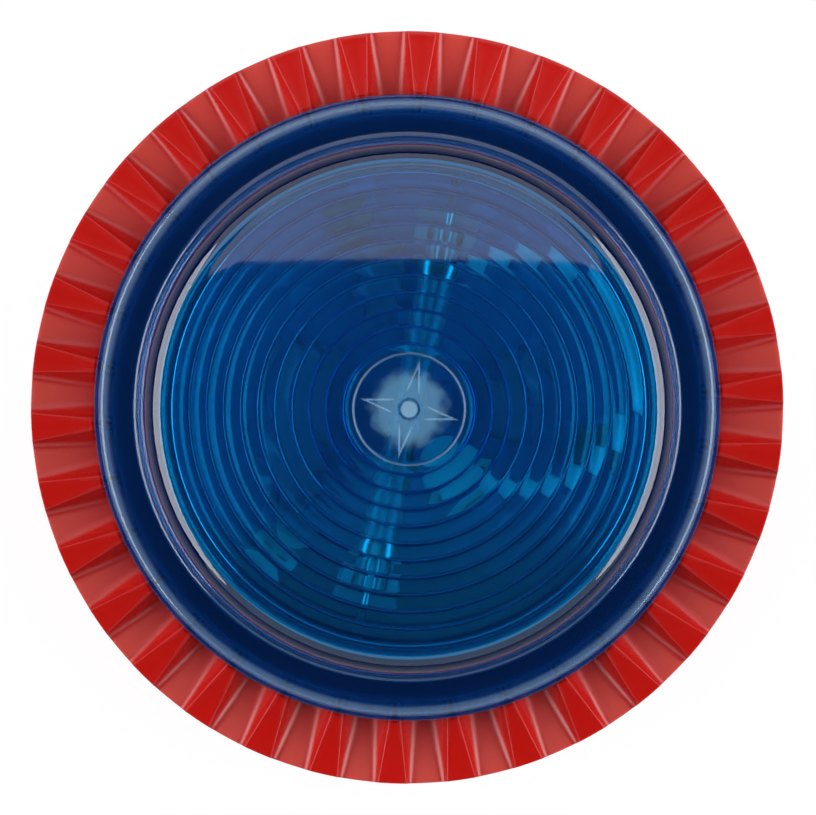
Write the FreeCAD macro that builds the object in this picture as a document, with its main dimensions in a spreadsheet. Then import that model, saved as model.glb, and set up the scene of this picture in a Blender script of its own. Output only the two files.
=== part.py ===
"""Wall-mounted beacon sounder: a red fluted head under a blue flash lens, twisted onto a deep wall base.

The part stands on its wall face: +Z points away from the wall, out through the lens, and the origin is the
centre of the wall face. One rib of the head's crown lies on the X axis.
"""

import FreeCAD, Part
import math
import os
import re

import Sketcher
from FreeCAD import Placement, Rotation, Vector

# Driving sizes: millimetres, degrees where the name ends in angle, plain numbers where it ends in count.
SIZES = {
    # Wall base: a deep moulded cup
    "base_radius": 48.0,
    "base_height": 34.0,
    "base_wall": 2.6,
    "base_floor": 3.2,
    "base_edge": 1.2,
    "entry_radius": 8.0,
    "entry_recess_radius": 11.5,
    "entry_recess_depth": 1.6,
    "slot_spacing": 64.0,
    "slot_length": 12.0,
    "hole_spacing": 66.0,
    "fixing_radius": 2.25,
    # Knock-outs for conduit in the side of the base
    "conduit_radius": 10.0,
    "conduit_height": 14.0,
    "conduit_sink": 1.4,
    "conduit_wall": 3.2,
    "conduit_border": 2.5,
    "score_width": 0.8,
    "score_web": 1.0,
    # Bayonet between base and head
    "bayonet_count": 3,
    "ledge_drop": 6.0,
    "ledge_thickness": 2.6,
    "ledge_depth": 2.4,
    "lug_angle": 16.0,
    "lug_thickness": 2.4,
    "lug_gap": 0.4,
    "gap_angle": 20.0,
    "twist_angle": 20.0,
    "stop_angle": 3.0,
    "stop_play_angle": 0.8,
    "head_gap": 0.5,
    # Cable grommet in the wall face
    "grommet_bore": 4.5,
    "grommet_lip": 2.4,
    "grommet_lip_thickness": 1.2,
    "grommet_sink": 0.3,
    # Terminal block and contact springs
    "way_count": 4,
    "way_pitch": 7.0,
    "block_offset": 20.0,
    "block_width": 11.0,
    "block_height": 12.0,
    "block_ear": 7.0,
    "block_ear_height": 4.0,
    "block_post_height": 3.0,
    "block_post_radius": 3.2,
    "wire_mouth_width": 4.6,
    "wire_mouth_height": 5.2,
    "wire_mouth_sill": 1.4,
    "wire_mouth_depth": 8.2,
    "clamp_wall": 0.7,
    "clamp_play": 0.1,
    "well_radius": 2.2,
    "spring_thickness": 0.5,
    "spring_width": 4.0,
    "spring_foot": 4.0,
    "spring_reach": 4.4,
    "contact_gap": 0.3,
    "contact_thickness": 0.6,
    "contact_length": 6.0,
    "contact_pin_radius": 0.8,
    # Sounder head shell
    "head_radius": 50.0,
    "head_taper": 1.6,
    "side_height": 35.3,
    "head_wall": 2.6,
    "rim_round": 0.5,
    "rim_band": 0.7,
    "lens_gap": 0.4,
    "rib_rise": 0.6,
    "rib_width_inner": 1.4,
    "rib_spread": 0.145,
    "lens_seat": 2.3,
    "crown_floor": 4.2,
    "port_height": 0.2,
    "trough_count": 34,
    "trough_floor_inner": 2.5,
    "trough_spread": 0.105,
    "trough_depth_inner": 1.9,
    "trough_depth_outer": 0.7,
    "trough_overrun": 0.8,
    "bulkhead_height": 16.0,
    "bulkhead_thickness": 2.4,
    "neck_thickness": 2.6,
    "skirt_drop": 10.0,
    "skirt_wall": 2.2,
    "skirt_clearance": 0.4,
    "spigot_clearance": 0.5,
    "spigot_drop": 3.2,
    "seal_groove_depth": 1.8,
    "seal_groove_width": 2.0,
    "seal_groove_top": 0.6,
    "seal_play": 0.05,
    "cover_step": 1.6,
    "cover_seat_drop": 3.5,
    "pillar_radius": 3.0,
    "pilot_radius": 1.2,
    "pilot_depth": 7.0,
    "tray_pillar_circle": 29.0,
    "tray_pillar_angle": 89.0,
    "board_pillar_circle": 28.3,
    "cover_pillar_circle": 35.4,
    # Piezo sounder unit
    "piezo_aperture": 11.5,
    "piezo_radius": 13.5,
    "piezo_thickness": 0.4,
    "ceramic_radius": 10.0,
    "ceramic_thickness": 0.3,
    "clamp_ring_radius": 19.5,
    "clamp_ring_height": 3.0,
    "clamp_screw_circle": 16.6,
    # Main board and what it carries
    "board_drop": 13.0,
    "board_radius": 32.0,
    "board_thickness": 1.6,
    "reservoir_radius": 4.0,
    "reservoir_length": 16.0,
    "reservoir_offset": 8.0,
    "inverter_length": 11.0,
    "inverter_width": 9.5,
    "inverter_height": 7.0,
    "inverter_offset": 10.0,
    "inverter_limb": 2.2,
    "chip_length": 10.0,
    "chip_width": 6.0,
    "chip_height": 2.4,
    "chip_offset": 20.0,
    "dip_count": 6,
    "dip_pitch": 2.54,
    "dip_end": 1.1,
    "dip_width": 6.6,
    "dip_gap": 0.4,
    "dip_offset_x": -5.0,
    "dip_offset_y": -12.0,
    "dip_slot_depth": 1.4,
    "slider_width": 1.2,
    "slider_length": 1.5,
    "slider_rise": 0.8,
    "slider_travel": 1.7,
    "slider_play": 0.1,
    "trimmer_side": 7.0,
    "trimmer_offset_x": 13.5,
    "trimmer_offset_y": -12.0,
    "rotor_radius": 2.2,
    "rotor_play": 0.3,
    "rotor_depth": 1.6,
    "rotor_rise": 0.4,
    "rotor_slot": 0.8,
    # Wires between the two boards
    "link_circle": 22.0,
    "link_spread": 1.6,
    "link_radius": 0.8,
    "link_play": 0.1,
    # Rear cover of the head
    "cover_thickness": 2.0,
    "cover_clearance": 0.3,
    "window_border": 0.6,
    # Reflector tray under the lens
    "tray_drop": 8.8,
    "tray_floor": 2.0,
    "tray_wall": 2.8,
    "tray_clearance": 0.3,
    "tray_lip_gap": 0.4,
    "tray_seal_width": 1.5,
    "deflector_radius": 12.0,
    "deflector_height": 5.5,
    "standoff_circle": 20.0,
    "standoff_angle": 30.0,
    "standoff_radius": 2.5,
    "standoff_height": 3.0,
    # Flash board and xenon tube, laid out along the tube
    "flash_angle": 74.6,
    "flash_board_radius": 26.0,
    "tube_height": 13.0,
    "tube_radius": 2.0,
    "tube_wall": 0.5,
    "tube_length": 42.0,
    "electrode_radius": 0.9,
    "electrode_length": 4.5,
    "lead_radius": 0.4,
    "lead_reach": 1.8,
    "lead_bend": 1.2,
    "band_width": 2.4,
    "band_thickness": 0.3,
    "band_offset": 16.2,
    "trigger_wire_radius": 0.25,
    "support_offset": 19.3,
    "support_length": 2.6,
    "support_width": 6.4,
    "support_play": 0.05,
    "coil_x": -5.4,
    "coil_y": -6.0,
    "coil_radius": 3.2,
    "coil_flange": 0.9,
    "coil_lip": 0.7,
    "loop_x": 6.8,
    "loop_y": -11.7,
    "loop_radius": 13.1,
    "trigger_lead_radius": 0.9,
    "storage_film_x": -4.0,
    "storage_film_y": 10.5,
    "storage_film_length": 16.0,
    "storage_film_width": 6.5,
    "storage_film_height": 9.0,
    "snubber_film_x": 12.2,
    "snubber_film_y": 5.4,
    "snubber_film_length": 7.0,
    "snubber_film_width": 4.0,
    "snubber_film_height": 7.0,
    "trigger_film_x": 3.4,
    "trigger_film_y": -10.5,
    "trigger_film_length": 9.0,
    "trigger_film_width": 4.5,
    "trigger_film_height": 8.0,
    # Lens: one moulding, dished and ringed on its inside
    "flange_radius": 41.5,
    "flange_step": 1.5,
    "bead_outer_radius": 41.0,
    "bead_curve": 1.0,
    "shoulder_radius": 39.6,
    "shoulder_height": 2.5,
    "shoulder_thickness": 1.4,
    "lens_foot_round": 1.0,
    "wall_foot_radius": 35.6,
    "wall_top_radius": 34.2,
    "wall_top_height": 25.2,
    "lens_edge_radius": 3.5,
    "dome_angle": 10.3,
    "lens_wall": 2.2,
    "bore_step": 1.2,
    "ring_count": 11,
    "ring_start": 8.4,
    "ring_pitch": 2.2,
    "ring_depth": 0.5,
    "boss_radius": 7.15,
    "boss_height": 0.7,
    "gate_radius": 1.1,
    "gate_well": 1.5,
    "gate_depth": 0.3,
    "gate_rise": 0.1,
    "star_reach": 5.9,
    "star_waist": 1.5,
    "star_height": 0.3,
    # Screws
    "screw_head_radius": 2.6,
    "screw_head_height": 1.7,
    "screw_radius": 1.15,
    "screw_recess": 0.9,
    "screw_recess_width": 0.7,
}

doc = FreeCAD.newDocument("beacon_sounder")
sheet = doc.addObject("Spreadsheet::Sheet", "Sizes")
for row, (alias, number) in enumerate(SIZES.items(), start=1):
    sheet.set(f"A{row}", alias)
    sheet.set(f"B{row}", str(number))
    sheet.setAlias(f"B{row}", alias)
doc.recompute()

# Heights above the wall and radii that several pieces share, as formulas of the driving sizes
BORE = "(base_radius - base_wall)"
CONDUIT_FLAT = "(base_radius - conduit_sink)"
LEDGE_RADIUS = f"({BORE} - ledge_depth)"
LEDGE_Z = "(base_height - ledge_drop)"
SKIRT_RADIUS = f"({LEDGE_RADIUS} - skirt_clearance)"
SKIRT_BORE = f"({SKIRT_RADIUS} - skirt_wall)"
SPIGOT_RADIUS = f"({BORE} - spigot_clearance)"
HEAD_BOTTOM = "(head_radius - head_taper)"
RIB_FOOT = "(head_radius - rim_band)"
LENS_RECESS = "(flange_radius + lens_gap)"
CROWN_INNER = "(flange_radius - lens_seat)"
HEAD_Z = "(base_height + head_gap)"
RIM_Z = f"({HEAD_Z} + side_height)"
LENS_Z = f"({RIM_Z} + port_height)"
BULKHEAD_Z = f"({HEAD_Z} + bulkhead_height)"
BULKHEAD_TOP = "(bulkhead_height + bulkhead_thickness)"
BOARD_TOP_Z = f"({BULKHEAD_Z} - board_drop)"
BOARD_Z = f"({BOARD_TOP_Z} - board_thickness)"
COVER_TOP_Z = f"({HEAD_Z} - cover_seat_drop)"
COVER_Z = f"({COVER_TOP_Z} - cover_thickness)"
TRAY_Z = f"({RIM_Z} - tray_drop)"
TRAY_FLOOR_Z = f"({TRAY_Z} + tray_floor)"
FLASH_BOARD_Z = f"({TRAY_FLOOR_Z} + standoff_height)"
FLASH_TOP_Z = f"({FLASH_BOARD_Z} + board_thickness)"
TUBE_Z = f"({FLASH_TOP_Z} + tube_height)"
BLOCK_Z = "(base_floor + block_post_height)"
BLOCK_LENGTH = "(way_count * way_pitch)"
EAR_CENTRE = f"({BLOCK_LENGTH} / 2 + block_ear / 2)"
CONTACT_Y = "(block_offset + block_width / 2 + spring_reach / 2)"
CONTACT_Z = f"({COVER_Z} - contact_thickness)"
SPRING_TOP_Z = f"({CONTACT_Z} - contact_gap)"
LENS_BORE = "(shoulder_radius - lens_wall - bore_step)"
LENS_UNDER = "(shoulder_height - shoulder_thickness)"
TRAY_RADIUS = f"({LENS_BORE} - tray_clearance)"
LENS_SEAL_CIRCLE = f"({TRAY_RADIUS} - tray_wall / 2)"
LENS_SEAL_Z = f"({LENS_Z} + {LENS_UNDER} - tray_seal_width / 2)"
DIP_Z = f"({COVER_TOP_Z} + dip_gap)"
LINKS = [("-link_spread", "-link_circle"), ("link_spread", "-link_circle")]


def formula(text):
    """A size formula in the document's own terms: every size name becomes a cell of the sheet."""
    return re.sub(r"[a-z][a-z_]*[a-z]", lambda m: f"Sizes.{m[0]}" if m[0] in SIZES else m[0], str(text))


def value(text):
    """What a size formula comes to now."""
    return float(sheet.evalExpression(formula(text)))


def bind(thing, name, text):
    thing.setExpression(name, formula(text))


def origin(body, role):
    return next(item for item in body.Origin.OriginFeatures if item.Role == role)


def place(thing, at=(None, None, None), angle=None):
    """Puts a sub-part at formulas for x, y and z, turned about Z."""
    for axis, text in zip("xyz", at):
        if text is not None:
            bind(thing, f"Placement.Base.{axis}", text)
    if angle is not None:
        bind(thing, "Placement.Rotation.Angle", angle)


def new_body(label, at=(None, None, None), angle=None):
    body = doc.addObject("PartDesign::Body", label)
    body.Label = label
    body.AllowCompound = True
    place(body, at, angle)
    return body


def new_sketch(body, plane="XY_Plane", offset="0", turned=None):
    """A sketch on one of the body's origin planes, moved along its normal, or an upright one turned about Z."""
    sketch = body.newObject("Sketcher::SketchObject", f"{body.Label}_sketch")
    sketch.AttachmentSupport = (origin(body, plane), [""])
    sketch.MapMode = "FlatFace"
    if turned is None:
        bind(sketch, "AttachmentOffset.Base.z", offset)
        return sketch
    sketch.AttachmentOffset = FreeCAD.Placement(FreeCAD.Vector(), FreeCAD.Rotation(FreeCAD.Vector(0, 1, 0), 1))
    bind(sketch, "AttachmentOffset.Rotation.Angle", turned)
    bind(sketch, "AttachmentOffset.Base.x", f"{offset} * sin({turned})")
    bind(sketch, "AttachmentOffset.Base.z", f"{offset} * cos({turned})")
    return sketch


def pin_point(sketch, edge, end, x, y):
    """Ties one end of an edge to formulas for its distance from the sketch's origin."""
    for kind, text in (("DistanceX", x), ("DistanceY", y)):
        index = sketch.addConstraint(Sketcher.Constraint(kind, -1, 1, edge, end, value(text)))
        bind(sketch, f"Constraints[{index}]", text)


def draw_outline(sketch, corners):
    """A closed outline. A corner is (x, y), or (x, y, radius) where an arc leaves it for the next corner.

    A radius bends to the left of the way the outline runs, and one that starts with a minus to the right.
    A half circle is held by its centre, because its two ends already set its radius.
    """
    first = sketch.GeometryCount
    points = [Vector(value(corner[0]), value(corner[1]), 0) for corner in corners]
    ends = []
    for number, corner in enumerate(corners):
        start, stop = points[number], points[(number + 1) % len(points)]
        if len(corner) == 2:
            sketch.addGeometry(Part.LineSegment(start, stop))
            ends.append((1, 2))
            continue
        bends_right = corner[2].startswith("-")
        radius = corner[2].lstrip("-")
        size = value(radius)
        chord = stop - start
        rise = size - math.sqrt(max(size**2 - chord.Length**2 / 4, 0))
        outward = Vector(chord.y, -chord.x, 0).normalize() * (-rise if bends_right else rise)
        middle = (start + stop) * 0.5 + outward
        run = (stop, middle, start) if bends_right else (start, middle, stop)
        edge = sketch.addGeometry(Part.ArcOfCircle(*run))
        ends.append((2, 1) if bends_right else (1, 2))
        if abs(chord.Length - 2 * size) > 1e-6:
            index = sketch.addConstraint(Sketcher.Constraint("Radius", edge, size))
            bind(sketch, f"Constraints[{index}]", radius)
            continue
        side = 0 if abs(chord.x) < abs(chord.y) else 1
        middle = f"(({corner[side]}) + ({corners[(number + 1) % len(corners)][side]})) / 2"
        kind = ("DistanceX", "DistanceY")[side]
        index = sketch.addConstraint(Sketcher.Constraint(kind, -1, 1, edge, 3, value(middle)))
        bind(sketch, f"Constraints[{index}]", middle)
    for number, corner in enumerate(corners):
        after = (number + 1) % len(corners)
        meeting = (first + number, ends[number][1], first + after, ends[after][0])
        sketch.addConstraint(Sketcher.Constraint("Coincident", *meeting))
        pin_point(sketch, first + number, ends[number][0], corner[0], corner[1])


def draw_circle(sketch, x, y, radius):
    edge = sketch.addGeometry(Part.Circle(Vector(value(x), value(y), 0), Vector(0, 0, 1), value(radius)))
    index = sketch.addConstraint(Sketcher.Constraint("Radius", edge, value(radius)))
    bind(sketch, f"Constraints[{index}]", radius)
    pin_point(sketch, edge, 3, x, y)


def draw_box(sketch, x, y, length, width):
    """A rectangle by its centre and its two sides."""
    low_x, high_x = f"({x}) - ({length}) / 2", f"({x}) + ({length}) / 2"
    low_y, high_y = f"({y}) - ({width}) / 2", f"({y}) + ({width}) / 2"
    draw_outline(sketch, [(low_x, low_y), (high_x, low_y), (high_x, high_y), (low_x, high_y)])


def draw_slot(sketch, x, y, length, radius):
    """A slot with round ends, along X."""
    straight = f"(({length}) / 2 - ({radius}))"
    draw_outline(
        sketch,
        [
            (f"{x} - {straight}", f"{y} - {radius}"),
            (f"{x} + {straight}", f"{y} - {radius}", radius),
            (f"{x} + {straight}", f"{y} + {radius}"),
            (f"{x} - {straight}", f"{y} + {radius}", radius),
        ],
    )


def draw_sector(sketch, inner, outer, start, stop):
    """A piece of a flat ring between two angles."""
    draw_outline(
        sketch,
        [
            (f"{inner} * cos({start})", f"{inner} * sin({start})"),
            (f"{outer} * cos({start})", f"{outer} * sin({start})", outer),
            (f"{outer} * cos({stop})", f"{outer} * sin({stop})"),
            (f"{inner} * cos({stop})", f"{inner} * sin({stop})", f"-{inner}"),
        ],
    )


def turn(body, corners, axis="V_Axis"):
    """A solid of revolution about the body's Z axis, or about its X axis with H_Axis."""
    sketch = new_sketch(body, "XZ_Plane")
    draw_outline(sketch, corners)
    solid = body.newObject("PartDesign::Revolution", f"{body.Label}_turn")
    solid.Profile = sketch
    solid.ReferenceAxis = (sketch, [axis])
    solid.Angle = 360
    return solid


def pad(body, sketch, length, both_ways=False):
    solid = body.newObject("PartDesign::Pad", f"{body.Label}_pad")
    solid.Profile = sketch
    solid.Midplane = both_ways
    bind(solid, "Length", length)
    return solid


def pocket(body, sketch, length, upwards=True):
    """A cut that runs along the sketch's normal, or against it."""
    cut = body.newObject("PartDesign::Pocket", f"{body.Label}_pocket")
    cut.Profile = sketch
    cut.Reversed = upwards
    bind(cut, "Length", length)
    return cut


def repeat_round(body, features, count):
    """Repeats features evenly about the body's Z axis."""
    pattern = body.newObject("PartDesign::PolarPattern", f"{body.Label}_round")
    pattern.Originals = features
    pattern.Axis = (origin(body, "Z_Axis"), [""])
    pattern.Angle = 360
    bind(pattern, "Occurrences", count)
    body.Tip = pattern
    return pattern


def repeat_along(body, features, count, pitch):
    """Repeats features along the body's X axis."""
    pattern = body.newObject("PartDesign::LinearPattern", f"{body.Label}_row")
    pattern.Originals = features
    pattern.Direction = (origin(body, "X_Axis"), [""])
    bind(pattern, "Length", f"({count} - 1) * {pitch}")
    bind(pattern, "Occurrences", count)
    body.Tip = pattern
    return pattern


def pad_circles(body, spots, radius, foot, length):
    """Round posts at the given spots, from the height foot upwards."""
    sketch = new_sketch(body, offset=foot)
    for x, y in spots:
        draw_circle(sketch, x, y, radius)
    return pad(body, sketch, length)


def bore_circles(body, spots, radius, foot, length):
    """Round holes at the given spots, from the height foot upwards."""
    sketch = new_sketch(body, offset=foot)
    for x, y in spots:
        draw_circle(sketch, x, y, radius)
    return pocket(body, sketch, length)


def pin(label, radius, height, at=(None, None, None)):
    """A plain round piece, standing on the height it is placed at."""
    piece = doc.addObject("Part::Cylinder", label)
    piece.Label = label
    bind(piece, "Radius", radius)
    bind(piece, "Height", height)
    place(piece, at)
    return piece


def o_ring(label, radius, section, at):
    ring = doc.addObject("Part::Torus", label)
    ring.Label = label
    bind(ring, "Radius1", radius)
    bind(ring, "Radius2", section)
    place(ring, at)
    return ring


def ring_of_screws(label, bearing_z, circle, count, angle, shank, heads_up):
    """Cross-recessed pan-head screws on a circle, their heads bearing on the height bearing_z."""
    body = new_body(label, (None, None, bearing_z), angle)
    spot = [(circle, "0")]
    head_foot = "0" if heads_up else "-screw_head_height"
    shank_foot = f"-({shank})" if heads_up else "0"
    head = pad_circles(body, spot, "screw_head_radius", head_foot, "screw_head_height")
    stem = pad_circles(body, spot, "screw_radius", shank_foot, shank)
    recess_foot = "screw_head_height - screw_recess" if heads_up else "-screw_head_height"
    sketch = new_sketch(body, offset=recess_foot)
    arm, half = "screw_head_radius * 0.6", "screw_recess_width / 2"
    cross = [
        ("-", arm, "-", half), ("-", half, "-", half), ("-", half, "-", arm), ("", half, "-", arm),
        ("", half, "-", half), ("", arm, "-", half), ("", arm, "", half), ("", half, "", half),
        ("", half, "", arm), ("-", half, "", arm), ("-", half, "", half), ("-", arm, "", half),
    ]
    draw_outline(sketch, [(f"{circle} + {sx}1 * ({x})", f"{sy}1 * ({y})") for sx, x, sy, y in cross])
    recess = pocket(body, sketch, "screw_recess")
    repeat_round(body, [head, stem, recess], count)
    return body


def wall_base():
    """Deep red cup on the wall: fixing slots, cable entry, conduit knock-outs and the bayonet's ledges."""
    body = new_body("wall_base")
    turn(
        body,
        [
            ("entry_radius", "entry_recess_depth"),
            ("entry_recess_radius", "entry_recess_depth"),
            ("entry_recess_radius", "0"),
            ("base_radius - base_edge", "0", "base_edge"),
            ("base_radius", "base_edge"),
            ("base_radius", "base_height - base_edge / 2"),
            ("base_radius - base_edge / 2", "base_height"),
            (BORE, "base_height"),
            (BORE, f"{LEDGE_Z} + ledge_thickness"),
            (LEDGE_RADIUS, f"{LEDGE_Z} + ledge_thickness"),
            (LEDGE_RADIUS, LEDGE_Z),
            (BORE, LEDGE_Z),
            (BORE, "base_floor"),
            ("entry_radius", "base_floor"),
        ],
    )
    way_in = new_sketch(body, offset=LEDGE_Z)
    gap = ("twist_angle - gap_angle / 2", "twist_angle + gap_angle / 2")
    draw_sector(way_in, f"({LEDGE_RADIUS} - ledge_depth)", BORE, *gap)
    gate = pocket(body, way_in, "ledge_thickness")
    repeat_round(body, [gate], "bayonet_count")
    stops = new_sketch(body, offset=f"{LEDGE_Z} - lug_gap - lug_thickness")
    locked = "(-lug_angle / 2 - stop_play_angle)"
    opened = "(twist_angle + lug_angle / 2 + stop_play_angle)"
    for start, stop in ((f"{locked} - stop_angle", locked), (opened, f"{opened} + stop_angle")):
        draw_sector(stops, f"({LEDGE_RADIUS} + skirt_clearance)", f"({BORE} + base_wall / 4)", start, stop)
    stop_ribs = pad(body, stops, "lug_gap + lug_thickness + ledge_thickness / 4")
    repeat_round(body, [stop_ribs], "bayonet_count")

    posts = [(f"-{EAR_CENTRE}", "block_offset"), (EAR_CENTRE, "block_offset")]
    pad_circles(body, posts, "block_post_radius", "base_floor / 2", "base_floor / 2 + block_post_height")
    bore_circles(body, posts, "pilot_radius", "base_floor / 2", "base_floor / 2 + block_post_height")
    slots = new_sketch(body)
    draw_slot(slots, "-slot_spacing / 2", "0", "slot_length", "fixing_radius")
    draw_slot(slots, "slot_spacing / 2", "0", "slot_length", "fixing_radius")
    pocket(body, slots, "base_floor")
    holes = [("0", "-hole_spacing / 2"), ("0", "hole_spacing / 2")]
    bore_circles(body, holes, "fixing_radius", "0", "base_floor")

    pad_width = "(2 * (conduit_radius + conduit_border))"
    inner_pad = new_sketch(body, offset="base_floor / 2")
    inner_face = f"({CONDUIT_FLAT} - conduit_wall)"
    middle, depth = f"({inner_face} + {BORE} + base_wall / 8) / 2", f"{BORE} + base_wall / 8 - {inner_face}"
    draw_box(inner_pad, "0", middle, pad_width, depth)
    boss = pad(body, inner_pad, "conduit_height + conduit_radius + score_width - base_floor / 2")
    outer_flat = new_sketch(body, offset="conduit_height - conduit_radius - conduit_border / 2")
    draw_box(outer_flat, "0", f"{CONDUIT_FLAT} + base_wall / 2", pad_width, "base_wall")
    flat = pocket(body, outer_flat, "2 * conduit_radius + conduit_border")
    score_ring = new_sketch(body, "XZ_Plane", f"-{CONDUIT_FLAT}")
    for radius in ("conduit_radius", "conduit_radius - score_width"):
        draw_circle(score_ring, "0", "conduit_height", radius)
    score = pocket(body, score_ring, "conduit_wall - score_web")
    repeat_round(body, [boss, flat, score], "2")
    return body


def cable_grommet():
    """Black rubber grommet, buttoned into the cable entry of the wall face."""
    body = new_body("cable_grommet")
    lip = "(entry_radius + grommet_lip)"
    turn(
        body,
        [
            ("grommet_bore", "grommet_sink"),
            (lip, "grommet_sink"),
            (lip, "entry_recess_depth"),
            ("entry_radius - seal_play", "entry_recess_depth"),
            ("entry_radius - seal_play", "base_floor"),
            (lip, "base_floor"),
            (f"{lip} - grommet_lip_thickness", "base_floor + grommet_lip_thickness"),
            ("grommet_bore", "base_floor + grommet_lip_thickness"),
        ],
    )
    return body


FIRST_WAY = f"(-({BLOCK_LENGTH} - way_pitch) / 2)"
MOUTH_FACE = "(block_width / 2)"


def terminal_block():
    """Moulded terminal block with a wire mouth and a screw well for each way, and an ear at each end."""
    body = new_body("terminal_block", ("0", "block_offset", BLOCK_Z))
    ears = new_sketch(body)
    draw_box(ears, "0", "0", f"{BLOCK_LENGTH} + 2 * block_ear", "block_width * 0.7")
    pad(body, ears, "block_ear_height")
    middle = new_sketch(body)
    draw_box(middle, "0", "0", BLOCK_LENGTH, "block_width")
    pad(body, middle, "block_height")
    bore_circles(body, [(f"-{EAR_CENTRE}", "0"), (EAR_CENTRE, "0")], "pilot_radius", "0", "block_ear_height")
    mouth_sketch = new_sketch(body, offset="wire_mouth_sill")
    mouth_y = f"wire_mouth_depth / 2 - {MOUTH_FACE}"
    draw_box(mouth_sketch, FIRST_WAY, mouth_y, "wire_mouth_width", "wire_mouth_depth")
    mouth = pocket(body, mouth_sketch, "wire_mouth_height")
    well_foot = "(wire_mouth_sill + wire_mouth_height)"
    well = bore_circles(body, [(FIRST_WAY, "0")], "well_radius", well_foot, f"block_height - {well_foot}")
    repeat_along(body, [mouth, well], "way_count", "way_pitch")
    return body


def terminal_clamps():
    """Plated brass cage in each wire mouth, open to the wire."""
    body = new_body("terminal_clamps", ("0", "block_offset", f"{BLOCK_Z} + wire_mouth_sill + clamp_play"))
    width, height = "(wire_mouth_width - 2 * clamp_play)", "(wire_mouth_height - 2 * clamp_play)"
    depth = "(wire_mouth_depth - 2 * clamp_play)"
    back = f"(wire_mouth_depth / 2 - {MOUTH_FACE})"
    cage_sketch = new_sketch(body)
    draw_box(cage_sketch, FIRST_WAY, back, width, depth)
    cage = pad(body, cage_sketch, height)
    window_sketch = new_sketch(body, offset="clamp_wall")
    draw_box(window_sketch, FIRST_WAY, back, f"{width} - 2 * clamp_wall", depth)
    window = pocket(body, window_sketch, f"{height} - 2 * clamp_wall")
    repeat_along(body, [cage, window], "way_count", "way_pitch")
    return body


def terminal_screws():
    """Slotted screw in each well, its point on the cage."""
    foot = f"{BLOCK_Z} + wire_mouth_sill + wire_mouth_height"
    body = new_body("terminal_screws", ("0", "block_offset", foot))
    depth = "(block_height - wire_mouth_sill - wire_mouth_height)"
    spot = [(FIRST_WAY, "0")]
    stem = pad_circles(body, spot, "screw_radius", "0", f"{depth} - screw_head_height")
    head_foot = f"{depth} - screw_head_height - screw_recess / 2"
    head = pad_circles(body, spot, "well_radius - clamp_play", head_foot, "screw_head_height")
    slot_sketch = new_sketch(body, offset=f"{depth} - screw_recess")
    draw_box(slot_sketch, FIRST_WAY, "0", "2 * well_radius", "screw_recess_width")
    slot = pocket(body, slot_sketch, "screw_recess")
    repeat_along(body, [stem, head, slot], "way_count", "way_pitch")
    return body


def contact_springs():
    """Bent bronze leaf on each way, springing up to the head's contacts."""
    body = new_body("contact_springs")
    top, thick = f"({BLOCK_Z} + block_height)", "spring_thickness"
    edge = "(block_offset + block_width / 2)"
    crest, tip = f"({edge} + spring_reach / 2)", f"({edge} + spring_reach)"
    sketch = new_sketch(body, "YZ_Plane", FIRST_WAY)
    draw_outline(
        sketch,
        [
            (f"{edge} - spring_foot", top),
            (edge, top),
            (f"{crest} + {thick} / 2", f"{SPRING_TOP_Z} - {thick}"),
            (tip, f"{SPRING_TOP_Z} - spring_reach / 2 - {thick}"),
            (f"{tip} + {thick}", f"{SPRING_TOP_Z} - spring_reach / 2"),
            (f"{crest} + {thick}", SPRING_TOP_Z),
            (f"{crest} - {thick}", SPRING_TOP_Z),
            (f"{edge} - {thick}", f"{top} + {thick}"),
            (f"{edge} - spring_foot", f"{top} + {thick}"),
        ],
    )
    leaf = pad(body, sketch, "spring_width", both_ways=True)
    repeat_along(body, [leaf], "way_count", "way_pitch")
    return body


def block_screws():
    """Two screws that hold the terminal block's ears to the base's posts."""
    shank = "block_ear_height + block_post_height"
    bearing = f"{BLOCK_Z} + block_ear_height"
    body = ring_of_screws("block_screws", bearing, EAR_CENTRE, "2", None, shank, heads_up=True)
    place(body, (None, "block_offset", None))
    return body


def side_radius(height):
    """Outside radius of the head's tapered side at a height above its lower edge."""
    return f"({HEAD_BOTTOM} + head_taper * ({height}) / (side_height - rim_round))"


def pillars(body, circle, angle, foot, length, pilot_foot):
    """Three screw pillars on a circle, each with a blind pilot hole that starts at pilot_foot."""
    spot = [(f"{circle} * cos({angle})", f"{circle} * sin({angle})")]
    post = pad_circles(body, spot, "pillar_radius", foot, length)
    hole = bore_circles(body, spot, "pilot_radius", pilot_foot, "pilot_depth")
    repeat_round(body, [post, hole], "3")


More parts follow.
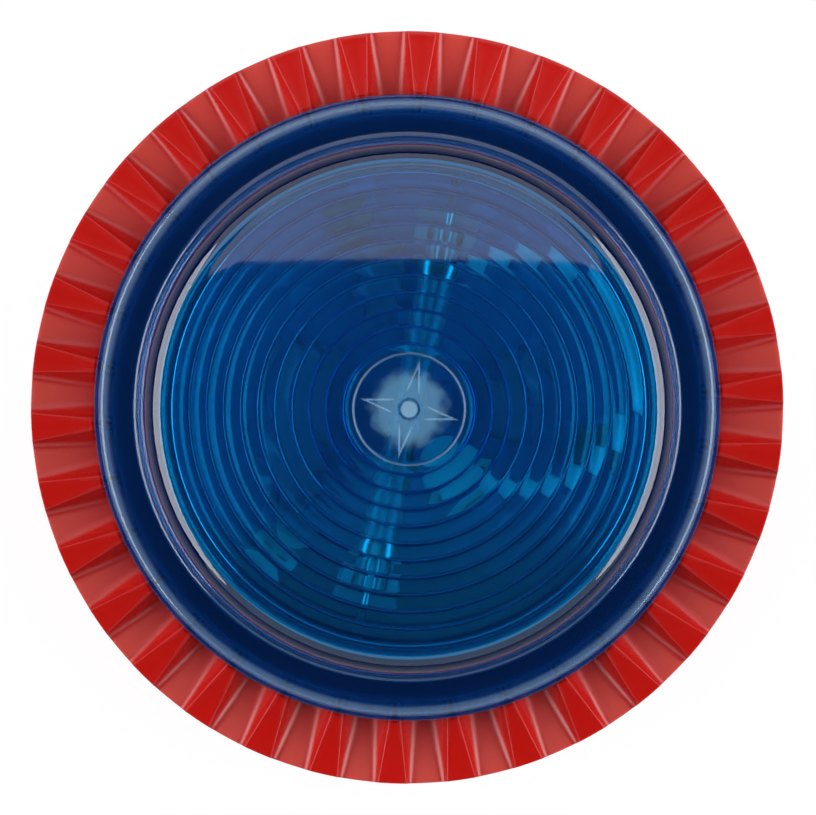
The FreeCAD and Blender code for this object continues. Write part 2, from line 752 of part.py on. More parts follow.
def sounder_body():
    """Red head shell: tapered side, fluted crown with sound outlets under the lens, bulkhead and skirt."""
    body = new_body("sounder_body", (None, None, HEAD_Z))
    wall = "head_wall"
    top = "side_height"
    groove_top = "-seal_groove_top"
    groove_foot = "(-seal_groove_top - seal_groove_width)"
    under_crown = f"({top} - crown_floor)"
    turn(
        body,
        [
            (HEAD_BOTTOM, "0"),
            ("head_radius", f"{top} - rim_round", "rim_round"),
            ("head_radius - rim_round", top),
            (RIB_FOOT, top),
            (LENS_RECESS, f"{top} + rib_rise"),
            (LENS_RECESS, f"{top} + port_height"),
            (CROWN_INNER, f"{top} + port_height"),
            (CROWN_INNER, under_crown),
            (f"{side_radius(under_crown)} - {wall}", under_crown),
            (f"{side_radius(BULKHEAD_TOP)} - {wall}", BULKHEAD_TOP),
            ("piezo_aperture", BULKHEAD_TOP),
            ("piezo_aperture", "bulkhead_height"),
            (f"{side_radius('bulkhead_height')} - {wall}", "bulkhead_height"),
            (f"{side_radius('neck_thickness')} - {wall}", "neck_thickness"),
            (f"{SKIRT_BORE} - cover_step", "neck_thickness"),
            (f"{SKIRT_BORE} - cover_step", "-cover_seat_drop"),
            (SKIRT_BORE, "-cover_seat_drop"),
            (SKIRT_BORE, "-skirt_drop"),
            (SKIRT_RADIUS, "-skirt_drop"),
            (SKIRT_RADIUS, "-spigot_drop"),
            (SPIGOT_RADIUS, "-spigot_drop"),
            (SPIGOT_RADIUS, groove_foot),
            (f"{SPIGOT_RADIUS} - seal_groove_depth", groove_foot),
            (f"{SPIGOT_RADIUS} - seal_groove_depth", groove_top),
            (SPIGOT_RADIUS, groove_top),
            (SPIGOT_RADIUS, "0"),
        ],
    )
    lug_sketch = new_sketch(body, offset=f"{LEDGE_Z} - lug_gap - lug_thickness - {HEAD_Z}")
    lug_radius = f"({BORE} - skirt_clearance)"
    lug_foot = f"({SKIRT_RADIUS} - skirt_wall / 4)"
    draw_sector(lug_sketch, lug_foot, lug_radius, "-lug_angle / 2", "lug_angle / 2")
    repeat_round(body, [pad(body, lug_sketch, "lug_thickness")], "bayonet_count")

    chamber = f"(side_height - tray_drop - {BULKHEAD_TOP})"
    sunk = "bulkhead_thickness / 2"
    tray_foot = f"{BULKHEAD_TOP} - {sunk}"
    tray_pilot = "side_height - tray_drop - pilot_depth"
    pillars(body, "tray_pillar_circle", "tray_pillar_angle", tray_foot, f"{chamber} + {sunk}", tray_pilot)
    board_foot = "bulkhead_height - board_drop"
    pillars(body, "board_pillar_circle", "30", board_foot, f"board_drop + {sunk}", board_foot)
    cover_length = f"bulkhead_height + cover_seat_drop + {sunk}"
    pillars(body, "cover_pillar_circle", "90", "-cover_seat_drop", cover_length, "-cover_seat_drop")
    pillars(body, "clamp_screw_circle", "60", tray_foot, "pilot_depth", "bulkhead_height")
    bore_circles(body, LINKS, "link_radius + link_play", "bulkhead_height", "bulkhead_thickness")

    repeat_round(body, [trough_cut(body)], "trough_count")
    return body


def trough_cut(body):
    """One trough between two ribs of the crown: open under the lens and at the rim, shallower outwards."""
    half_pitch = "180 / trough_count"
    start, stop = f"({CROWN_INNER} - trough_overrun)", "(head_radius + trough_overrun)"
    sections = []
    for reach in (start, stop):
        outward = f"({reach} - {LENS_RECESS})"
        share = f"({outward} / ({stop} - {LENS_RECESS}))"
        floor = f"(side_height - trough_depth_inner + (trough_depth_inner - trough_depth_outer) * {share})"
        half = f"(trough_floor_inner / 2 + trough_spread * {outward})"
        rib_half = f"(rib_width_inner / 2 + rib_spread * {outward})"
        brim = f"({reach} * tan({half_pitch}) - {rib_half})"
        rib = f"(side_height + rib_rise * ({RIB_FOOT} - {reach}) / ({RIB_FOOT} - {LENS_RECESS}))"
        top = f"({rib} + rib_rise)"
        sketch = new_sketch(body, "YZ_Plane", reach, half_pitch)
        side = [(brim, rib), (brim, top)]
        mirrored = [(f"-{brim}", top), (f"-{brim}", rib)]
        draw_outline(sketch, [(f"-{half}", floor), (half, floor), *side, *mirrored])
        sections.append(sketch)
    cut = body.newObject("PartDesign::SubtractiveLoft", "trough_cut")
    cut.Profile = sections[0]
    cut.Sections = [sections[1]]
    cut.Ruled = True
    return cut


def head_seal():
    """Rubber ring in the spigot's groove, against the base's bore."""
    section = "(seal_groove_width / 2 - seal_play)"
    radius = f"{SPIGOT_RADIUS} - seal_groove_depth + {section} + seal_play"
    height = f"{HEAD_Z} - seal_groove_top - seal_groove_width / 2"
    return o_ring("head_seal", radius, section, (None, None, height))


def piezo_unit():
    """Brass diaphragm with its ceramic, held against the bulkhead by a clamp ring."""
    pin("piezo_diaphragm", "piezo_radius", "piezo_thickness", ("0", "0", f"{BULKHEAD_Z} - piezo_thickness"))
    ceramic_z = f"{BULKHEAD_Z} - piezo_thickness - ceramic_thickness"
    pin("piezo_ceramic", "ceramic_radius", "ceramic_thickness", ("0", "0", ceramic_z))
    ring = new_body("piezo_clamp_ring", (None, None, BULKHEAD_Z))
    seat = "(piezo_radius + clamp_play)"
    turn(
        ring,
        [
            ("piezo_aperture", "-clamp_ring_height"),
            ("clamp_ring_radius", "-clamp_ring_height"),
            ("clamp_ring_radius", "0"),
            (seat, "0"),
            (seat, "-piezo_thickness"),
            ("piezo_aperture", "-piezo_thickness"),
        ],
    )
    spot = [("clamp_screw_circle * cos(60)", "clamp_screw_circle * sin(60)")]
    hole = bore_circles(ring, spot, "pilot_radius", "-clamp_ring_height", "clamp_ring_height")
    repeat_round(ring, [hole], "3")
    bearing = f"{BULKHEAD_Z} - clamp_ring_height"
    shank = "clamp_ring_height + pilot_depth / 2"
    ring_of_screws("clamp_screws", bearing, "clamp_screw_circle", "3", "60", shank, heads_up=False)


def main_board():
    """Round circuit board under the bulkhead, on three pillars."""
    body = new_body("main_board", (None, None, BOARD_Z))
    pad_circles(body, [("0", "0")], "board_radius", "0", "board_thickness")
    spot = [("board_pillar_circle * cos(30)", "board_pillar_circle * sin(30)")]
    hole = bore_circles(body, spot, "pilot_radius", "0", "board_thickness")
    repeat_round(body, [hole], "3")
    bore_circles(body, LINKS, "link_radius + link_play", "0", "board_thickness")
    shank = "board_thickness + pilot_depth"
    ring_of_screws("board_screws", BOARD_Z, "board_pillar_circle", "3", "30", shank, heads_up=False)


def board_components():
    """What stands on the main board: reservoir capacitor, inverter transformer and driver chip."""
    can = new_body("reservoir_capacitor", ("0", "reservoir_offset", f"{BOARD_TOP_Z} + reservoir_radius"))
    half = "(reservoir_length / 2)"
    waist = "reservoir_radius * 0.9"
    turn(
        can,
        [
            (f"-{half}", "0"),
            (half, "0"),
            (half, "reservoir_radius"),
            (f"{half} * 0.74", "reservoir_radius"),
            (f"{half} * 0.70", waist),
            (f"{half} * 0.66", "reservoir_radius"),
            (f"-{half}", "reservoir_radius"),
        ],
        axis="H_Axis",
    )
    core = new_body("inverter_core", ("0", "-inverter_offset", BOARD_TOP_Z))
    block = new_sketch(core)
    draw_box(block, "0", "0", "inverter_length", "inverter_width")
    pad(core, block, "inverter_height")
    windows = new_sketch(core, offset="inverter_limb / 2")
    window_length = "(inverter_length / 2 - 1.5 * inverter_limb)"
    for sign in ("-", ""):
        window_x = f"{sign}1 * ({window_length} / 2 + inverter_limb / 2)"
        draw_box(windows, window_x, "0", window_length, "inverter_width")
    pocket(core, windows, "inverter_height - inverter_limb")
    winding = new_body("inverter_winding", ("0", "-inverter_offset", f"{BOARD_TOP_Z} + inverter_limb / 2"))
    sleeve = new_sketch(winding)
    length = "(inverter_length - 2 * inverter_limb - 2 * clamp_play)"
    draw_box(sleeve, "0", "0", length, "inverter_width + inverter_limb")
    draw_box(sleeve, "0", "0", "inverter_limb", "inverter_width")
    pad(winding, sleeve, "inverter_height - inverter_limb")
    chip = new_body("driver_chip", ("chip_offset", "0", BOARD_TOP_Z))
    sketch = new_sketch(chip)
    draw_box(sketch, "0", "0", "chip_length", "chip_width")
    pad(chip, sketch, "chip_height")


DIP_LENGTH = "(dip_count * dip_pitch + 2 * dip_end)"
FIRST_SWITCH = "(-(dip_count - 1) * dip_pitch / 2)"
SWITCH_SLOT = "(slider_length + slider_travel + 2 * slider_play)"
SLIDER_Y = "(-slider_travel / 2)"


def dip_switch():
    """Tone selector under the main board: a block with one slot for each sliding switch."""
    body = new_body("dip_switch_block", ("dip_offset_x", "dip_offset_y", DIP_Z))
    outline = new_sketch(body)
    draw_box(outline, "0", "0", DIP_LENGTH, "dip_width")
    pad(body, outline, f"{BOARD_Z} - {DIP_Z}")
    slot_sketch = new_sketch(body)
    draw_box(slot_sketch, FIRST_SWITCH, "0", "slider_width + 2 * slider_play", SWITCH_SLOT)
    slot = pocket(body, slot_sketch, "dip_slot_depth + slider_play")
    repeat_along(body, [slot], "dip_count", "dip_pitch")
    for number in range(int(value("dip_count"))):
        x = f"dip_offset_x + {FIRST_SWITCH} + {number} * dip_pitch"
        at = (x, f"dip_offset_y + {SLIDER_Y}", f"{DIP_Z} - slider_rise")
        slider = new_body(f"dip_slider_{number + 1}", at)
        sketch = new_sketch(slider)
        draw_box(sketch, "0", "0", "slider_width", "slider_length")
        pad(slider, sketch, "slider_rise + dip_slot_depth")


def volume_trimmer():
    """Volume control under the main board: a square body and a slotted rotor."""
    body = new_body("trimmer_body", ("trimmer_offset_x", "trimmer_offset_y", DIP_Z))
    outline = new_sketch(body)
    draw_box(outline, "0", "0", "trimmer_side", "trimmer_side")
    pad(body, outline, f"{BOARD_Z} - {DIP_Z}")
    bore_circles(body, [("0", "0")], "rotor_radius + rotor_play", "0", "rotor_depth + rotor_play")
    rotor = new_body("trimmer_rotor", ("trimmer_offset_x", "trimmer_offset_y", f"{DIP_Z} - rotor_rise"))
    pad_circles(rotor, [("0", "0")], "rotor_radius", "0", "rotor_rise + rotor_depth")
    slot = new_sketch(rotor)
    draw_box(slot, "0", "0", "2 * rotor_radius * 0.8", "rotor_slot")
    pocket(rotor, slot, "rotor_rise + rotor_depth / 3")


def rear_cover():
    """Black cover that closes the head behind the main board, with windows for the controls."""
    body = new_body("rear_cover", (None, None, COVER_Z))
    pad_circles(body, [("0", "0")], f"{SKIRT_BORE} - cover_clearance", "0", "cover_thickness")
    windows = new_sketch(body)
    border = "2 * window_border"
    draw_box(windows, "dip_offset_x", "dip_offset_y", f"{DIP_LENGTH} + {border}", f"dip_width + {border}")
    draw_circle(windows, "trimmer_offset_x", "trimmer_offset_y", "rotor_radius + rotor_play + window_border")
    pocket(body, windows, "cover_thickness")
    hole = bore_circles(body, [("0", "cover_pillar_circle")], "pilot_radius", "0", "cover_thickness")
    repeat_round(body, [hole], "3")
    pin_spot = [(FIRST_WAY, CONTACT_Y)]
    pin_hole = bore_circles(body, pin_spot, "contact_pin_radius + link_play", "0", "cover_thickness")
    repeat_along(body, [pin_hole], "way_count", "way_pitch")
    shank = "cover_thickness + pilot_depth"
    ring_of_screws("cover_screws", COVER_Z, "cover_pillar_circle", "3", "90", shank, heads_up=False)


def head_contacts():
    """Brass contact under the cover for each way, on a pin that runs up to the main board."""
    body = new_body("head_contacts", (None, None, CONTACT_Z))
    sketch = new_sketch(body)
    draw_box(sketch, FIRST_WAY, CONTACT_Y, "spring_width", "contact_length")
    plate = pad(body, sketch, "contact_thickness")
    stem = pad_circles(body, [(FIRST_WAY, CONTACT_Y)], "contact_pin_radius", "0", f"{BOARD_Z} - {CONTACT_Z}")
    repeat_along(body, [plate, stem], "way_count", "way_pitch")


def link_wires():
    """Two wires from the main board through the bulkhead and the tray to the flash board."""
    body = new_body("link_wires", (None, None, BOARD_Z))
    pad_circles(body, LINKS, "link_radius", "0", f"{FLASH_BOARD_Z} - {BOARD_Z}")


def reflector_tray():
    """White tray that carries the flash unit and the lens: a deflector below, a sealed rim above."""
    body = new_body("reflector_tray", (None, None, TRAY_Z))
    rim_top = f"({LENS_Z} + {LENS_UNDER} - tray_lip_gap - {TRAY_Z})"
    groove_floor = f"({LENS_SEAL_Z} - tray_seal_width / 2 - {TRAY_Z})"
    groove_outer = f"({LENS_SEAL_CIRCLE} + tray_seal_width / 2)"
    groove_inner = f"({LENS_SEAL_CIRCLE} - tray_seal_width / 2)"
    turn(
        body,
        [
            ("0", "-deflector_height"),
            ("deflector_radius", "0"),
            (TRAY_RADIUS, "0"),
            (TRAY_RADIUS, rim_top),
            (groove_outer, rim_top),
            (groove_outer, groove_floor),
            (groove_inner, groove_floor),
            (groove_inner, rim_top),
            (f"{TRAY_RADIUS} - tray_wall", rim_top),
            (f"{TRAY_RADIUS} - tray_wall", "tray_floor"),
            ("0", "tray_floor"),
        ],
    )
    circle, angle = "tray_pillar_circle", "tray_pillar_angle"
    spot = [(f"{circle} * cos({angle})", f"{circle} * sin({angle})")]
    hole = bore_circles(body, spot, "pilot_radius", "0", "tray_floor")
    repeat_round(body, [hole], "3")
    turned = "(flash_angle + standoff_angle)"
    stand = [(f"standoff_circle * cos({turned})", f"standoff_circle * sin({turned})")]
    post = pad_circles(body, stand, "standoff_radius", "tray_floor / 2", "tray_floor / 2 + standoff_height")
    pilot = bore_circles(body, stand, "pilot_radius", "tray_floor", "standoff_height")
    repeat_round(body, [post, pilot], "3")
    bore_circles(body, LINKS, "link_radius + link_play", "0", "tray_floor")
    shank = "tray_floor + pilot_depth * 0.8"
    ring_of_screws("tray_screws", TRAY_FLOOR_Z, circle, "3", angle, shank, heads_up=True)


def lens_seal():
    """Rubber ring in the top of the tray's rim, against the shoulder of the lens."""
    return o_ring("lens_seal", LENS_SEAL_CIRCLE, "(tray_seal_width / 2 - seal_play)", (None, None, LENS_SEAL_Z))


def flash_board():
    """Round circuit board of the flash unit, on the tray's standoffs."""
    body = new_body("flash_board", (None, None, FLASH_BOARD_Z), "flash_angle")
    pad_circles(body, [("0", "0")], "flash_board_radius", "0", "board_thickness")
    spot = [("standoff_circle * cos(standoff_angle)", "standoff_circle * sin(standoff_angle)")]
    hole = bore_circles(body, spot, "pilot_radius", "0", "board_thickness")
    repeat_round(body, [hole], "3")
    lead_hole = bore_circles(body, [(LEG_X, "0")], "lead_radius + link_play", "0", "board_thickness")
    repeat_round(body, [lead_hole], "2")
    shank = "board_thickness + standoff_height"
    turned = "flash_angle + standoff_angle"
    ring_of_screws("flash_board_screws", FLASH_TOP_Z, "standoff_circle", "3", turned, shank, heads_up=True)


TUBE_END = "(tube_length / 2)"
LEG_X = f"({TUBE_END} + lead_reach)"
TUBE_BORE = "(tube_radius - tube_wall)"


def flash_tube():
    """Straight xenon tube: a closed glass cylinder with its electrodes sealed through the ends."""
    glass = new_body("flash_tube", (None, None, TUBE_Z), "flash_angle")
    cap = f"({TUBE_END} - tube_wall)"
    seal = "(lead_radius + seal_play)"
    turn(
        glass,
        [
            (f"-{TUBE_END}", seal),
            (f"-{cap}", seal),
            (f"-{cap}", TUBE_BORE),
            (cap, TUBE_BORE),
            (cap, seal),
            (TUBE_END, seal),
            (TUBE_END, "tube_radius"),
            (f"-{TUBE_END}", "tube_radius"),
        ],
        axis="H_Axis",
    )
    electrodes = new_body("tube_electrodes", (None, None, TUBE_Z), "flash_angle")
    rod = turn(
        electrodes,
        [
            (f"{cap} - electrode_length", "0"),
            (f"{LEG_X} - lead_bend", "0"),
            (f"{LEG_X} - lead_bend", "lead_radius"),
            (cap, "lead_radius"),
            (cap, "electrode_radius"),
            (f"{cap} - electrode_length", "electrode_radius"),
        ],
        axis="H_Axis",
    )
    path = new_sketch(electrodes, "XZ_Plane")
    draw_lead_path(path)
    section = new_sketch(electrodes, offset="-tube_height - board_thickness")
    draw_circle(section, LEG_X, "0", "lead_radius")
    leg = electrodes.newObject("PartDesign::AdditivePipe", "tube_lead")
    leg.Profile = section
    leg.Spine = path
    repeat_round(electrodes, [rod, leg], "2")


def draw_lead_path(sketch):
    """A lead's line: up from the board, then round a bend to the end of the tube."""
    top = Vector(value(LEG_X), -value("lead_bend"), 0)
    inner = Vector(value(LEG_X) - value("lead_bend"), 0, 0)
    centre = Vector(inner.x, top.y, 0)
    middle = centre + Vector(1, 1, 0).normalize() * value("lead_bend")
    foot = Vector(top.x, -value("tube_height") - value("board_thickness"), 0)
    sketch.addGeometry(Part.LineSegment(foot, top))
    sketch.addGeometry(Part.ArcOfCircle(top, middle, inner))
    sketch.addConstraint(Sketcher.Constraint("Coincident", 0, 2, 1, 1))
    pin_point(sketch, 0, 1, LEG_X, "-tube_height - board_thickness")
    pin_point(sketch, 0, 2, LEG_X, "-lead_bend")
    pin_point(sketch, 1, 2, f"{LEG_X} - lead_bend", "0")
    index = sketch.addConstraint(Sketcher.Constraint("Radius", 1, value("lead_bend")))
    bind(sketch, f"Constraints[{index}]", "lead_bend")


def trigger_band():
    """Two bands round the tube, joined by the trigger wire that runs along it."""
    body = new_body("trigger_band", (None, None, TUBE_Z), "flash_angle")
    low, high = "(band_offset - band_width / 2)", "(band_offset + band_width / 2)"
    inner, outer = "(tube_radius + seal_play)", "(tube_radius + band_thickness)"
    band = turn(
        body,
        [(low, inner), (high, inner), (high, outer), (low, outer)],
        axis="H_Axis",
    )
    repeat_round(body, [band], "2")
    wire = new_sketch(body, "YZ_Plane")
    draw_circle(wire, "0", "-tube_radius - seal_play - trigger_wire_radius", "trigger_wire_radius")
    pad(body, wire, "2 * band_offset", both_ways=True)


def tube_supports():
    """White posts that cradle the two ends of the tube."""
    body = new_body("tube_supports", (None, None, FLASH_TOP_Z), "flash_angle")
    sketch = new_sketch(body)
    draw_box(sketch, "support_offset", "0", "support_length", "support_width")
    post = pad(body, sketch, "tube_height + tube_radius / 2")
    cradle_sketch = new_sketch(body, "YZ_Plane", "support_offset - support_length / 2")
    seat = "(tube_radius + support_play)"
    draw_outline(
        cradle_sketch,
        [
            (f"-{seat}", "tube_height", seat),
            (seat, "tube_height"),
            (seat, "tube_height + tube_radius"),
            (f"-{seat}", "tube_height + tube_radius"),
        ],
    )
    cradle = pocket(body, cradle_sketch, "support_length")
    repeat_round(body, [post, cradle], "2")


def on_flash_board(x, y):
    """Where a spot of the flash board's layout lies in the part's frame."""
    return (
        f"{x} * cos(flash_angle) - {y} * sin(flash_angle)",
        f"{x} * sin(flash_angle) + {y} * cos(flash_angle)",
    )


def trigger_coil():
    """Trigger transformer: a flanged bobbin standing on the board, and its winding."""
    at = (*on_flash_board("coil_x", "coil_y"), FLASH_TOP_Z)
    height = "(tube_height + 2 * trigger_lead_radius + coil_flange)"
    bobbin = new_body("trigger_bobbin", at, "flash_angle")
    neck = "(coil_radius * 0.45)"
    turn(
        bobbin,
        [
            ("0", "0"),
            ("coil_radius", "0"),
            ("coil_radius", "coil_flange"),
            (neck, "coil_flange"),
            (neck, f"{height} - coil_flange"),
            ("coil_radius", f"{height} - coil_flange"),
            ("coil_radius", height),
            ("0", height),
        ],
    )
    winding = new_body("trigger_winding", at, "flash_angle")
    wound = "(coil_radius - coil_lip)"
    turn(
        winding,
        [
            (f"{neck} + seal_play", "coil_flange"),
            (wound, "coil_flange"),
            (wound, f"{height} - coil_flange"),
            (f"{neck} + seal_play", f"{height} - coil_flange"),
        ],
    )


def trigger_lead():
    """Pale insulated lead that loops from the trigger coil round to the band at the tube's end."""
    end_y = "(-tube_radius - band_thickness - trigger_lead_radius)"
    start_y = "(coil_y - coil_radius + coil_lip - contact_gap)"
    at_band = f"(asin(({end_y} - loop_y) / loop_radius) / 1 deg)"
    at_coil = f"(180 - asin(({start_y} - loop_y) / loop_radius) / 1 deg)"
    lead = o_ring("trigger_lead", "loop_radius", "trigger_lead_radius", (None, None, TUBE_Z))
    bind(lead, "Angle3", f"360 + {at_band} - {at_coil}")
    place(lead, on_flash_board("loop_x", "loop_y"), f"flash_angle + {at_coil}")


def film_capacitors():
    """Red film capacitors on the flash board, on both sides of the tube."""
    body = new_body("film_capacitors", (None, None, FLASH_TOP_Z), "flash_angle")
    for name in ("storage_film", "snubber_film", "trigger_film"):
        sketch = new_sketch(body)
        draw_box(sketch, f"{name}_x", f"{name}_y", f"{name}_length", f"{name}_width")
        pad(body, sketch, f"{name}_height")


def lens():
    """Blue lens: flange, bead and flat shoulder, upright wall, rounded edge, shallow dome with rings inside."""
    body = new_body("lens", (None, None, LENS_Z), "flash_angle")
    lean = "atan((wall_foot_radius - wall_top_radius) / (wall_top_height - shoulder_height))"
    dome_foot = f"(wall_top_radius - lens_edge_radius * (cos({lean}) - sin(dome_angle)))"
    dome_foot_z = f"(wall_top_height + lens_edge_radius * (cos(dome_angle) - sin({lean})))"
    dome_radius = f"({dome_foot} / sin(dome_angle))"
    dome_centre = f"({dome_foot_z} - {dome_radius} * cos(dome_angle))"
    inner_radius = f"({dome_radius} - lens_wall)"
    inner_foot = f"({dome_foot} - lens_wall * sin(dome_angle))"
    inner_foot_z = f"({dome_foot_z} - lens_wall * cos(dome_angle))"
    inner_wall_foot = f"(wall_foot_radius - lens_wall / cos({lean}) + shoulder_thickness * tan({lean}))"

    def inside(radius):
        return f"({dome_centre} + sqrt({inner_radius}^2 - ({radius})^2))"

    def outside(radius):
        return f"({dome_centre} + sqrt({dome_radius}^2 - ({radius})^2))"

    rings = []
    for number in reversed(range(int(value("ring_count")))):
        radius = f"(ring_start + {number} * ring_pitch)"
        rings += [(radius, inside(radius)), (radius, f"{inside(radius)} + ring_depth")]
    boss_foot = f"({inside('0')} - boss_height)"
    gate_floor = f"({outside('gate_well')} - gate_depth)"
    gate_top = f"({outside('0')} + gate_rise)"
    turn(
        body,
        [
            (LENS_BORE, "0"),
            ("flange_radius", "0"),
            ("flange_radius", "flange_step"),
            ("bead_outer_radius", "flange_step", "bead_curve"),
            ("shoulder_radius", "shoulder_height"),
            ("wall_foot_radius + lens_foot_round", "shoulder_height", "-lens_foot_round"),
            (f"wall_foot_radius - lens_foot_round * tan({lean})", "shoulder_height + lens_foot_round"),
            ("wall_top_radius", "wall_top_height", "lens_edge_radius"),
            (dome_foot, dome_foot_z, dome_radius),
            ("gate_well", outside("gate_well")),
            ("gate_well", gate_floor),
            ("gate_radius", gate_floor),
            ("gate_radius", gate_top),
            ("0", gate_top),
            ("0", boss_foot),
            ("boss_radius", boss_foot),
            ("boss_radius", inside("boss_radius")),
            *reversed(rings),
            (inner_foot, inner_foot_z, "-lens_edge_radius + lens_wall"),
            (f"wall_top_radius - lens_wall * cos({lean})", f"wall_top_height - lens_wall * sin({lean})"),
            (inner_wall_foot, LENS_UNDER),
            (LENS_BORE, LENS_UNDER),
        ],
    )
    sketch = new_sketch(body, offset=f"{boss_foot} - star_height")
    waist = "star_waist * cos(45)"
    draw_outline(
        sketch,
        [
            ("star_reach", "0"), (waist, waist), ("0", "star_reach"), (f"-{waist}", waist),
            ("-star_reach", "0"), (f"-{waist}", f"-{waist}"), ("0", "-star_reach"), (waist, f"-{waist}"),
        ],
    )
    pad(body, sketch, "star_height + boss_height / 2")


def refuse_bad_shapes():
    """Stops the build when a feature failed, a cut removed nothing or a sub-part is not a valid solid."""
    for item in doc.Objects:
        if "Invalid" in item.State or "Error" in item.State:
            raise RuntimeError(f"{item.Label}: {item.State}")
        if item.TypeId in ("PartDesign::Pocket", "PartDesign::SubtractiveLoft"):
            if item.Shape.Volume > item.BaseFeature.Shape.Volume - 1e-3:
                raise RuntimeError(f"{item.Label} cuts nothing")
    for piece in pieces():
        if piece.Shape.isNull() or not piece.Shape.isValid() or not piece.Shape.Solids:
            raise RuntimeError(f"{piece.Label} is not a valid solid")


def pieces():
    kinds = ("PartDesign::Body", "Part::Cylinder", "Part::Torus")
    return [item for item in doc.Objects if item.TypeId in kinds]


wall_base()
cable_grommet()
terminal_block()
terminal_clamps()
terminal_screws()
contact_springs()
block_screws()
sounder_body()
head_seal()
piezo_unit()
main_board()
board_components()
dip_switch()
volume_trimmer()
rear_cover()
head_contacts()
link_wires()
reflector_tray()
lens_seal()
flash_board()
flash_tube()
trigger_band()
tube_supports()
trigger_coil()
trigger_lead()
film_capacitors()
lens()
doc.recompute()
refuse_bad_shapes()

os.makedirs("parts", exist_ok=True)
for piece in pieces():
    piece.Shape.exportStep(os.path.join("parts", f"{piece.Label}.step"))
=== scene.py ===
import math

import bmesh
import bpy
from mathutils import Matrix, Vector


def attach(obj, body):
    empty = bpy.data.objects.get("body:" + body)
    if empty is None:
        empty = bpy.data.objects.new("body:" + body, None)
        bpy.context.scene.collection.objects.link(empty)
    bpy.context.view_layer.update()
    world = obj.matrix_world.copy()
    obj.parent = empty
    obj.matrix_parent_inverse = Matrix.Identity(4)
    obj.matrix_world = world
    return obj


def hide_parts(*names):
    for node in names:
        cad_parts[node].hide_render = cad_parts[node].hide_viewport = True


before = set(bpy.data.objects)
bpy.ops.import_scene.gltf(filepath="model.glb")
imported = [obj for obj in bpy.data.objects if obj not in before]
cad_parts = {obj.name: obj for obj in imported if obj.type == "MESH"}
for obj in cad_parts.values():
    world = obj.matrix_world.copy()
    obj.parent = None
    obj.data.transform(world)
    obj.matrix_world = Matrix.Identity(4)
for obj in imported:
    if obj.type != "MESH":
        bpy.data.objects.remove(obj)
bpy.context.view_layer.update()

# Wall base
# A deep red cup, injection moulded in tough plastic and screwed flat to the wall through its floor.
# Its outside keeps the fine spark texture of the tool.


class Value:
    """A shader socket that can stand in a sum."""

    def __init__(self, finish, socket):
        self.finish = finish
        self.socket = socket

    def reckon(self, operation, first, second=0.0, clamp=False):
        settings = {"operation": operation, "use_clamp": clamp}
        return self.finish.node("ShaderNodeMath", settings, {0: first, 1: second})

    def __add__(self, other):
        return self.reckon("ADD", self, other)

    def __sub__(self, other):
        return self.reckon("SUBTRACT", self, other)

    def __rsub__(self, other):
        return self.reckon("SUBTRACT", other, self)

    def __mul__(self, other):
        return self.reckon("MULTIPLY", self, other)

    def __truediv__(self, other):
        return self.reckon("DIVIDE", self, other)

    def __pow__(self, other):
        return self.reckon("POWER", self, other)

    def within(self):
        """Held between 0 and 1."""
        return self.reckon("ADD", self, 0.0, clamp=True)

    def above(self, limit):
        return self.reckon("GREATER_THAN", self, limit)

    def rise(self, low, high):
        """Goes smoothly from 0 at low to 1 at high."""
        span = {"interpolation_type": "SMOOTHSTEP"}
        ends = {"Value": self, "From Min": low, "From Max": high}
        return self.finish.node("ShaderNodeMapRange", span, ends)


class Finish:
    """A procedural material: one Principled shader and the nodes that feed it."""

    def __init__(self, name, sockets):
        self.material = bpy.data.materials.new(name)
        self.material.use_nodes = True
        self.tree = self.material.node_tree
        self.tree.nodes.clear()
        self.output = self.tree.nodes.new("ShaderNodeOutputMaterial").inputs["Surface"]
        self.shader = self.node("ShaderNodeBsdfPrincipled", {}, sockets)
        self.feed(self.output, self.shader)
        self.inputs = self.shader.socket.node.inputs

    def feed(self, socket, value):
        if isinstance(value, Value):
            self.tree.links.new(value.socket, socket)
        else:
            socket.default_value = value

    def node(self, kind, settings=None, sockets=None, output=0):
        """Adds a node: its settings first, then the values or links of its sockets."""
        made = self.tree.nodes.new(kind)
        for key, value in (settings or {}).items():
            setattr(made, key, value)
        for key, value in (sockets or {}).items():
            self.feed(made.inputs[key], value)
        return Value(self, made.outputs[output])

    def where(self):
        return self.node("ShaderNodeTexCoord", output="Object")

    def noise(self, size, detail=2.0, vector=None):
        """Cloudy pattern from 0 to 1 whose patches are about size metres across."""
        sockets = {"Vector": vector or self.where(), "Scale": 1 / size, "Detail": detail}
        return self.node("ShaderNodeTexNoise", {}, sockets)

    def mix(self, factor, first, second):
        """From the first colour to the second."""
        sockets = {0: factor, 6: first, 7: second}
        return self.node("ShaderNodeMix", {"data_type": "RGBA"}, sockets, output=2)

    def bump(self, height, distance, strength=1.0):
        sockets = {"Height": height, "Distance": distance, "Strength": strength}
        self.feed(self.inputs["Normal"], self.node("ShaderNodeBump", {}, sockets))


def shade(colour, share):
    return tuple(min(1.0, part * share) for part in colour[:3]) + (1.0,)


def moulded(name, colour, roughness, grain=0.0003, depth=0.00001, uneven=0.05):
    """Moulded plastic: spark texture from the tool, and a faint uneven tone where the melt met."""
    finish = Finish(name, {"IOR": 1.5})
    tone = finish.noise(0.02, 3.0)
    tint = finish.mix(tone, shade(colour, 1 - uneven), shade(colour, 1 + uneven))
    finish.feed(finish.inputs["Base Color"], tint)
    spark = finish.noise(grain, 1.0)
    finish.feed(finish.inputs["Roughness"], (tone - 0.5) * 0.12 + (spark - 0.5) * 0.08 + roughness)
    finish.bump(spark, depth)
    return finish


def dress(finish, *names):
    """Gives CAD pieces their finish."""
    for name in names:
        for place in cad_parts[name].material_slots:
            place.material = finish.material


